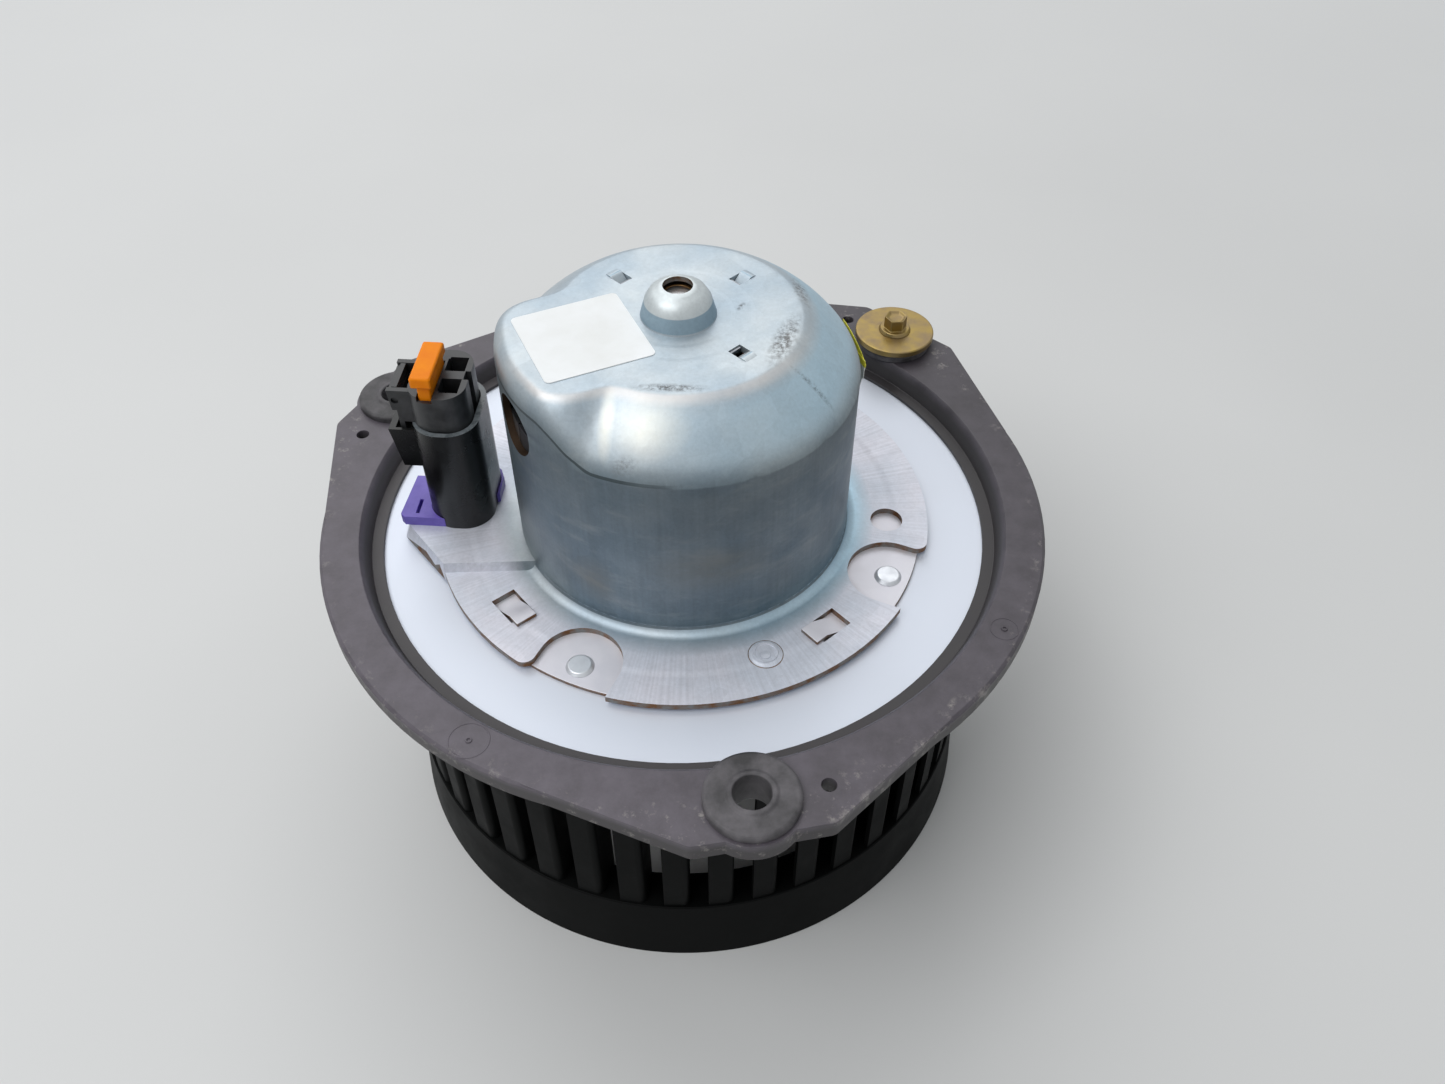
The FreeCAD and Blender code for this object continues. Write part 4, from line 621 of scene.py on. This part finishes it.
def show(name, mesh, body, finish, stands_for=(), rounding=0.0):
    """Makes a mesh a piece: smooth, with its edges rounded, its finish on, and riding its body."""
    mesh.shade_smooth()
    mesh.set_sharp_from_angle(angle=SHARP)
    if not mesh.materials:
        mesh.materials.append(finish)
    piece = bpy.data.objects.new(name, mesh)
    bpy.context.scene.collection.objects.link(piece)
    if rounding:
        soften = piece.modifiers.new("edge", "BEVEL")
        soften.width = rounding * MM
        soften.segments = 2
        soften.limit_method = "ANGLE"
        soften.angle_limit = SHARP
    even = piece.modifiers.new("even", "WEIGHTED_NORMAL")
    even.keep_sharp = True
    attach(piece, body)
    if stands_for:
        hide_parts(*stands_for)
    return piece


roundings = {
    "mounting_flange": 0.25, "grommet_front": 0.25, "grommet_rear": 0.25, "grommet_left": 0.25,
    "plug_latch": 0.12, "plug_lock_clip": 0.4, "rear_washer": 0.0, "flange_rivets": 0.15,
    "mounting_plate": 0.1, "wheel_back_plate": 0.2, "wheel_hub_insert": 0.1,
    "wheel_nut": 0.2, "wheel_washer": 0.1, "shaft": 0.1, "top_label": 0.0, "side_sticker": 0.0,
    "upper_bearing": 0.1,
}
for node, rounding in roundings.items():
    slot = slot_of_node[node]
    show(node + "_dressed", clean_copy(node), body_of_node[node], finishes[slot], (node,), rounding)
rebuilt = {"motor_can", "motor_end_plate", "connector_shroud", "connector_retainer", "plug_body", "rear_screw",
           "wheel_skirt", "wheel_end_ring", "wheel_blades"}
for node in sorted(set(nodes) - set(roundings) - rebuilt):
    nodes[node].data.materials.clear()
    nodes[node].data.materials.append(finishes[slot_of_node[node]])
print("dressed", len(roundings), "kept", len(nodes) - len(roundings) - len(rebuilt))

# %% [markdown]
# ## The can and its end plate
# Both are copies of their CAD shapes. The crown's face is inset, which keeps its flat part evenly
# shaded, and the boss's hole is opened a little. The sheet was cut after it was plated, so its cut
# edges have no zinc and rust. They could be a separate ring of faces, but the copy already has them:
# a face beyond the wall whose normal lies flat is a cut edge. A face inside the can that looks at the
# shaft, or stands round the side hole, takes brown varnish, darkened as a painted shade of the hollow,
# which shows through that hole.

# %% The can and its end plate
ZINC, RUSTY, INSIDE = 0, 1, 2
# Heights of the wall's foot, the crown and the boss's roof, and the radius where the wall has ended
FOOT, CROWN, BOSS_ROOF, PAST_WALL = 90.0, 142.0, 147.8, 43.0
BOSS_HOLE_LIMIT, BOSS_HOLE_SEEN = 3.0, 3.25


def polar(distance, azimuth):
    """The X and Y of a point at a distance from the shaft and an angle in degrees."""
    return distance * math.cos(math.radians(azimuth)), distance * math.sin(math.radians(azimuth))


side_hole, SIDE_HOLE_HEIGHT, SIDE_HOLE_RADIUS = Vector((*polar(1.0, 207.0), 0.0)), 127.5, 7.0


def sheet_finish(face, ceiling):
    """The number of a face's finish. Cut edges beyond the wall are rusty under a height, the ceiling."""
    centre = face.center / MM
    radius = math.hypot(centre.x, centre.y)
    outward = (face.normal.x * centre.x + face.normal.y * centre.y) / radius
    from_hole = centre - side_hole * centre.dot(side_hole) - Vector((0.0, 0.0, SIDE_HOLE_HEIGHT))
    hole_edge = abs(from_hole.length - SIDE_HOLE_RADIUS) < 0.5 and abs(face.normal.dot(side_hole)) < 0.5
    if FOOT < centre.z < CROWN - 0.1 and (outward < -0.5 or hole_edge and centre.x < 0):
        return INSIDE
    in_boss_hole = centre.z > CROWN + 0.5 and outward < -0.3
    cut_edge = abs(face.normal.z) < 0.3 and radius > PAST_WALL and centre.z < ceiling
    return RUSTY if in_boss_hole or cut_edge else ZINC


def show_cut_sheet(node, ceiling, rounding):
    """Dresses a pressed piece, with its crown inset, its boss's hole opened and its cut edges rusty."""
    mesh = clean_copy(node)
    form = bmesh.new()
    form.from_mesh(mesh)
    crown = [f for f in form.faces if f.normal.z > 0.999 and -0.1 < f.calc_center_median().z / MM - CROWN < 1.0]
    bmesh.ops.inset_region(form, faces=crown, thickness=1.2 * MM, use_even_offset=True)
    for vertex in form.verts:
        reach = math.hypot(vertex.co.x, vertex.co.y)
        if vertex.co.z > BOSS_ROOF * MM and reach < BOSS_HOLE_LIMIT * MM:
            vertex.co.x, vertex.co.y = (axis * BOSS_HOLE_SEEN * MM / reach for axis in vertex.co.xy)
    form.to_mesh(mesh)
    form.free()
    for finish in (finishes[slot_of_node[node]], rusty, inside_varnish_and_shade):
        mesh.materials.append(finish)
    for face in mesh.polygons:
        face.material_index = sheet_finish(face, ceiling)
    show(node + "_dressed", mesh, body_of_node[node], None, (node,), rounding)
    print(node, "faces", len(mesh.polygons), "rusty", sum(f.material_index == RUSTY for f in mesh.polygons))


show_cut_sheet("motor_can", 83.7, 0.18)
show_cut_sheet("motor_end_plate", 86.0, 0.1)

# %% [markdown]
# ## Turned and drawn shapes
# Round mouldings are made as on a lathe: a closed outline is turned about an upright axis. Bars and
# blades are an outline drawn out along a line. A modifier could do either, but working the points out
# directly gives an even, closed mesh.

# %% Turned and drawn shapes
def closed_mesh(name, points, faces):
    """A mesh of these points and faces, with every face turned outwards."""
    mesh = bpy.data.meshes.new(name)
    mesh.from_pydata(points, [], faces)
    form = bmesh.new()
    form.from_mesh(mesh)
    bmesh.ops.recalc_face_normals(form, faces=form.faces)
    form.to_mesh(mesh)
    form.free()
    return mesh


def turned_mesh(name, outline, centre=(0.0, 0.0), steps=220):
    """A closed ring from an outline of (radius, height) points in millimetres."""
    count = len(outline)
    points, faces = [], []
    for i in range(steps):
        angle = 2 * math.pi * i / steps
        here, there = i * count, (i + 1) % steps * count
        for j, (radius, height) in enumerate(outline):
            points.append(((centre[0] + radius * math.cos(angle)) * MM,
                           (centre[1] + radius * math.sin(angle)) * MM, height * MM))
            k = (j + 1) % count
            faces.append((here + j, there + j, there + k, here + k))
    return closed_mesh(name, points, faces)


def prism(name, outline, low, high, upright=True):
    """An outline in millimetres drawn out along Z, or along Y where it stands in the XZ plane."""
    count = len(outline)
    points = [(a * MM, b * MM, end * MM) if upright else (a * MM, end * MM, b * MM)
              for end in (low, high) for a, b in outline]
    faces = [tuple(range(count)), tuple(range(count, 2 * count))]
    faces += [(i, (i + 1) % count, count + (i + 1) % count, count + i) for i in range(count)]
    return closed_mesh(name, points, faces)


skirt_outline = [(73.3, 0.0), (76.6, 0.0), (74.9, 20.8), (65.4, 20.8), (65.4, 18.8), (73.3, 18.8)]
show("wheel_skirt_and_ring", turned_mesh("wheel_skirt_and_ring", skirt_outline), "rotor",
     finishes["wheel_plastic"], ("wheel_skirt", "wheel_end_ring"), 0.3)
print("skirt, corners of its outline:", len(skirt_outline))

# %% [markdown]
# ## The socket and its violet plate
# The faces on top of the socket's rim take a lighter finish, a painted highlight where the rim's top
# catches the light. The violet plate hugs the socket's foot on the right. A boolean could trim it, but a
# few flat cuts round one corner, each closed again, give the same line with clean edges.

# %% The socket and its violet plate
RIM_HIGHLIGHT, CORNER_RADIUS = 1, 7.4
socket_centre = Vector((-53.3, 3.5, 0.0))
socket_turn = Matrix.Rotation(math.radians(-6.5), 3, "Z")


def in_socket(point):
    """A point drawn with the socket square to the axes, turned to the socket's real place."""
    return (socket_turn @ (Vector(point) - socket_centre) + socket_centre) * MM


shroud = clean_copy("connector_shroud")
shroud.materials.append(finishes["shroud_plastic"])
shroud.materials.append(rim_highlight)
# The faces on top of the rim take the painted highlight
for face in shroud.polygons:
    if face.normal.z > 0.8 and face.center.z > 114.0 * MM:
        face.material_index = RIM_HIGHLIGHT
show("connector_shroud_dressed", shroud, "motor", None, ("connector_shroud",), 0.25)

retainer = clean_copy("connector_retainer")
form = bmesh.new()
form.from_mesh(retainer)
corner = in_socket((-52.5, 7.3, 87.0))
for azimuth in (0.0, 22.5, 45.0, 67.5, 90.0):
    outward = socket_turn @ Vector((*polar(1.0, azimuth), 0.0))
    bmesh.ops.bisect_plane(form, geom=form.verts[:] + form.edges[:] + form.faces[:], clear_outer=True,
                           plane_co=corner + outward * CORNER_RADIUS * MM, plane_no=outward)
    bmesh.ops.holes_fill(form, edges=[e for e in form.edges if e.is_boundary])
form.to_mesh(retainer)
form.free()
show("connector_retainer_dressed", retainer, "motor", finishes["violet_plastic"],
     ("connector_retainer",), 0.25)
print("socket rim faces", sum(f.material_index == RIM_HIGHLIGHT for f in shroud.polygons))
print("retainer faces", len(retainer.polygons))

# %% [markdown]
# ### The plug's open top
# The plug's two cavities flare at the top, where the loom's seals sat, so they look much larger than
# the terminals' holes below. Each flare is a block cut out of a copy of the plug.

# %% The plug's open top
def cut_out(mesh, blocks):
    """The mesh with each block, a drawn shape, taken out of it."""
    holder = bpy.data.objects.new("cutting", mesh)
    bpy.context.scene.collection.objects.link(holder)
    tools = []
    for block in blocks:
        tool = bpy.data.objects.new(block.name, block)
        bpy.context.scene.collection.objects.link(tool)
        modifier = holder.modifiers.new("cut", "BOOLEAN")
        modifier.operation = "DIFFERENCE"
        modifier.solver = "EXACT"
        modifier.object = tool
        tools.append(tool)
    result = bpy.data.meshes.new_from_object(holder.evaluated_get(bpy.context.evaluated_depsgraph_get()))
    for spent in tools + [holder]:
        bpy.data.objects.remove(spent)
    return result


flares = []
for y in (-0.4, 7.4):
    corners = [in_socket((x, y + side, 0.0)) / MM
               for x, side in ((-52.9, -2.5), (-48.7, -2.5), (-48.7, 2.5), (-52.9, 2.5))]
    flares.append(prism("flare", [(c.x, c.y) for c in corners], 120.5, 126.0))
plug = cut_out(clean_copy("plug_body"), flares)
show("plug_body_dressed", plug, "plug", finishes["plug_plastic"], ("plug_body",), 0.12)
print("plug faces", len(plug.polygons))

# %% [markdown]
# ## The rear screw
# The screw's head is a small hexagon with a dished top and a rolled rim. A turned cap could lie on it,
# but insets of the copy's own top face, pushed down a little, keep its six sides.

# %% The rear screw
screw = clean_copy("rear_screw")
form = bmesh.new()
form.from_mesh(screw)
top = max(form.verts, key=lambda v: v.co.z).co.z
crown_face = [f for f in form.faces if f.normal.z > 0.9 and f.calc_center_median().z > top - 0.05 * MM]
for inward, depth in ((0.35, 0.0), (0.5, -0.45), (0.5, -0.15)):
    bmesh.ops.inset_region(form, faces=crown_face, thickness=inward * MM, depth=depth * MM)
form.to_mesh(screw)
form.free()
show("rear_screw_dressed", screw, body_of_node["rear_screw"], finishes["yellow_zinc_steel"],
     ("rear_screw",), 0.2)
print("screw faces", len(screw.polygons))

# %% [markdown]
# ## The wheel's blades
# Forty-three blades stand on the ring. Copying a blade by hand would bake the count into the mesh.
# A Geometry Nodes tree works from named sizes instead: points on one spot, one blade on each, and
# each turned a step further about the shaft. The same tree later repeats the can's lances.

# %% A tree that repeats a piece about the shaft
def repeat_tree(name):
    """Copies the piece about the Z axis: inputs are the count, the first angle, the step and the finish."""
    tree = bpy.data.node_groups.new(name, "GeometryNodeTree")
    face = tree.interface
    for label, kind in (("Geometry", "Geometry"), ("Count", "Int"), ("First angle", "Float"), ("Step", "Float"),
                        ("Finish", "Material")):
        face.new_socket(label, in_out="INPUT", socket_type="NodeSocket" + kind)
    face.new_socket("Geometry", in_out="OUTPUT", socket_type="NodeSocketGeometry")
    given = add(tree, "NodeGroupInput", {})
    spots = add(tree, "GeometryNodePoints", {"Count": given.outputs["Count"]})
    number = add(tree, "GeometryNodeInputIndex", {})
    turn = add(tree, MATH, {0: number.outputs["Index"], 1: given.outputs["Step"],
                            2: given.outputs["First angle"]}, operation="MULTIPLY_ADD")
    about = add(tree, "ShaderNodeCombineXYZ", {"Z": turn})
    copies = add(tree, "GeometryNodeInstanceOnPoints", {
        "Points": spots.outputs["Points"], "Instance": given.outputs["Geometry"], "Rotation": about})
    solid = add(tree, "GeometryNodeRealizeInstances", {"Geometry": copies.outputs["Instances"]})
    coated = add(tree, "GeometryNodeSetMaterial", {"Geometry": solid.outputs["Geometry"],
                                                   "Material": given.outputs["Finish"]})
    add(tree, "NodeGroupOutput", {"Geometry": coated.outputs["Geometry"]})
    return tree


around_shaft = repeat_tree("around_shaft")


def repeated(mesh, count, first, step, finish):
    """The mesh repeated about the shaft by the tree, as a plain mesh."""
    holder = bpy.data.objects.new(mesh.name + "_one", mesh)
    bpy.context.scene.collection.objects.link(holder)
    modifier = holder.modifiers.new("repeat", "NODES")
    modifier.node_group = around_shaft
    values = {"Count": count, "First angle": math.radians(first), "Step": math.radians(step), "Finish": finish}
    for item in around_shaft.interface.items_tree:
        if item.in_out == "INPUT" and item.name in values:
            modifier[item.identifier] = values[item.name]
    made = holder.evaluated_get(bpy.context.evaluated_depsgraph_get())
    result = bpy.data.meshes.new_from_object(made)
    result.name = mesh.name
    bpy.data.objects.remove(holder)
    return result


print("repeat tree", len(around_shaft.nodes), "nodes")

# %% [markdown]
# ### One blade
# A blade is sheet 1.3 mm thick. Its root points at the shaft, then it bends, and a lip lies along the
# wheel's rim, so from outside each blade shows as a flat upright bar. A curve with thickness could
# make it, but an outline drawn up to the blade's height puts every corner where it is wanted.

# %% One blade
def blade_outline(root, rim, thick, bend, turn, lip, steps=8):
    """A blade along the X axis: straight from its root radius, round a bend, and a lip along the rim."""
    half, turn = thick / 2, math.radians(turn)
    along = (math.cos(turn), -math.sin(turn))
    aside = bend * (1 - math.cos(turn)) - lip * along[1]
    outward = bend * math.sin(turn) + lip * along[0]
    corner = math.sqrt((rim - half) ** 2 - aside ** 2) - outward

    def at(radius, t):
        return corner + radius * math.sin(t), radius * math.cos(t) - bend

    arc = [turn * i / steps for i in range(steps + 1)]
    middle = at(bend, turn)
    end = (middle[0] + lip * along[0], middle[1] + lip * along[1])
    tip = [(end[0] + half * math.sin(t), end[1] + half * math.cos(t)) for t in (turn, turn + math.pi)]
    return ([(root, half)] + [at(bend + half, t) for t in arc] + tip
            + [at(bend - half, t) for t in reversed(arc)] + [(root, -half)])


BLADES, FIRST_BLADE = 43, 0.5
one_blade = prism("wheel_blades", blade_outline(65.4, 74.4, 1.3, 1.0, 92.0, 4.6), 20.8, 74.0)
blades = repeated(one_blade, BLADES, FIRST_BLADE, 360.0 / BLADES, finishes["wheel_plastic"])
show("wheel_blades_dressed", blades, "rotor", finishes["wheel_plastic"], ("wheel_blades",))
print("blade faces", len(one_blade.polygons), "all", len(blades.polygons))

# %% [markdown]
# ## The crown's lances
# Round the boss the press lanced four small windows and bent their flaps down inside. The label hides
# the fourth. The flap is a bent strip: raised where it leaves the sheet, then sloping down towards
# the shaft. It stands in the XZ plane, and the wheel's tree sets the three that show in place.

# %% The crown's lances
flap_outline = [(22.3, 141.9), (21.4, 142.25), (20.5, 142.32), (19.8, 141.95), (18.5, 140.8), (18.2, 140.35),
                (19.3, 141.3), (20.2, 141.75), (21.2, 141.75)]
one_flap = prism("crown_lances", flap_outline, -1.6, 1.6, upright=False)
flaps = repeated(one_flap, 3, -48.0, 90.0, can_sheet)
show("crown_lances", flaps, "motor", can_sheet, rounding=0.15)
print("lance faces", len(flaps.polygons))

# %% [markdown]
# ## Ejector marks on the flange
# Where a mould's pins push the flange out they leave a low ring with a pip in it. Two show in front.
# A bump could fake them, but each is a ring turned about its own centre, so it casts its own shade.

# %% Ejector marks on the flange
def ridge(radius, width, rise, floor=FLANGE_TOP):
    """The outline of a low ridge that is sunk a little into the top that it stands on."""
    low, high = floor - 0.1, floor + rise
    return [(radius - width / 2, low), (radius + width / 2, low), (radius + width / 4, high),
            (radius - width / 4, high)]


ejector_marks = (("left", -123.4, 83.2, 4.3), ("right", -32.2, 83.4, 3.1))
for name, azimuth, distance, ring in ejector_marks:
    for part, radius, width, rise in (("ring", ring, 0.45, 0.10), ("pip", 0.55, 0.5, 0.25)):
        label = "ejector_" + part + "_" + name
        mark = turned_mesh(label, ridge(radius, width, rise), polar(distance, azimuth), 48)
        show(label, mark, "motor", ring_plastic)
print("ejector marks", len(ejector_marks))

# %% [markdown]
# ## The stud mark on the brim
# In front, a press stud left a round mark in the brim: a raised disc, which the CAD holds, with a
# rolled rim, a pip in it and a ring of rust about its foot.

# %% The stud mark on the brim
stud = polar(50.0, -70.0)
pip_outline = [(0.05, 84.1), (1.3, 84.1), (1.1, 84.45), (0.05, 84.6)]
for name, outline, centre, finish in (("rim", ridge(2.6, 0.7, 0.22, 84.2), stud, can_sheet),
                                      ("pip", pip_outline, (stud[0] - 0.1, stud[1] - 0.7), can_sheet),
                                      ("rust", ridge(3.7, 0.9, 0.06, 83.6), stud, rusty)):
    mark = turned_mesh("stud_mark_" + name, outline, centre, 48)
    show("stud_mark_" + name, mark, "motor", finish)
print("stud mark at", [round(c, 1) for c in stud])

# %% [markdown]
# ## The sticker's loose end
# The sticker on the can's right side has come away in front, so its end stands straight out and its
# yellow top shows beside the shoulder. It is one flat piece of film in the plane that touches the
# can at 20 degrees. Its outline is given along that plane, from where it still sticks.

# %% The sticker's loose end
loose_outline = [(0.0, 120.6), (-6.0, 119.6), (-10.6, 118.2), (-11.5, 121.7), (-12.3, 125.1), (-9.8, 126.8),
                 (-7.1, 128.0), (-4.1, 129.0), (-1.5, 129.5), (0.0, 129.6)]
FILM_INSIDE, FILM_OUTSIDE = 40.18, 40.3
loose_end = prism("sticker_loose_end", loose_outline, -FILM_OUTSIDE, -FILM_INSIDE, upright=False)
loose_end.transform(Matrix.Rotation(math.radians(110.0), 4, "Z"))
show("sticker_loose_end", loose_end, "motor", film)
print("loose end, corners:", len(loose_outline))
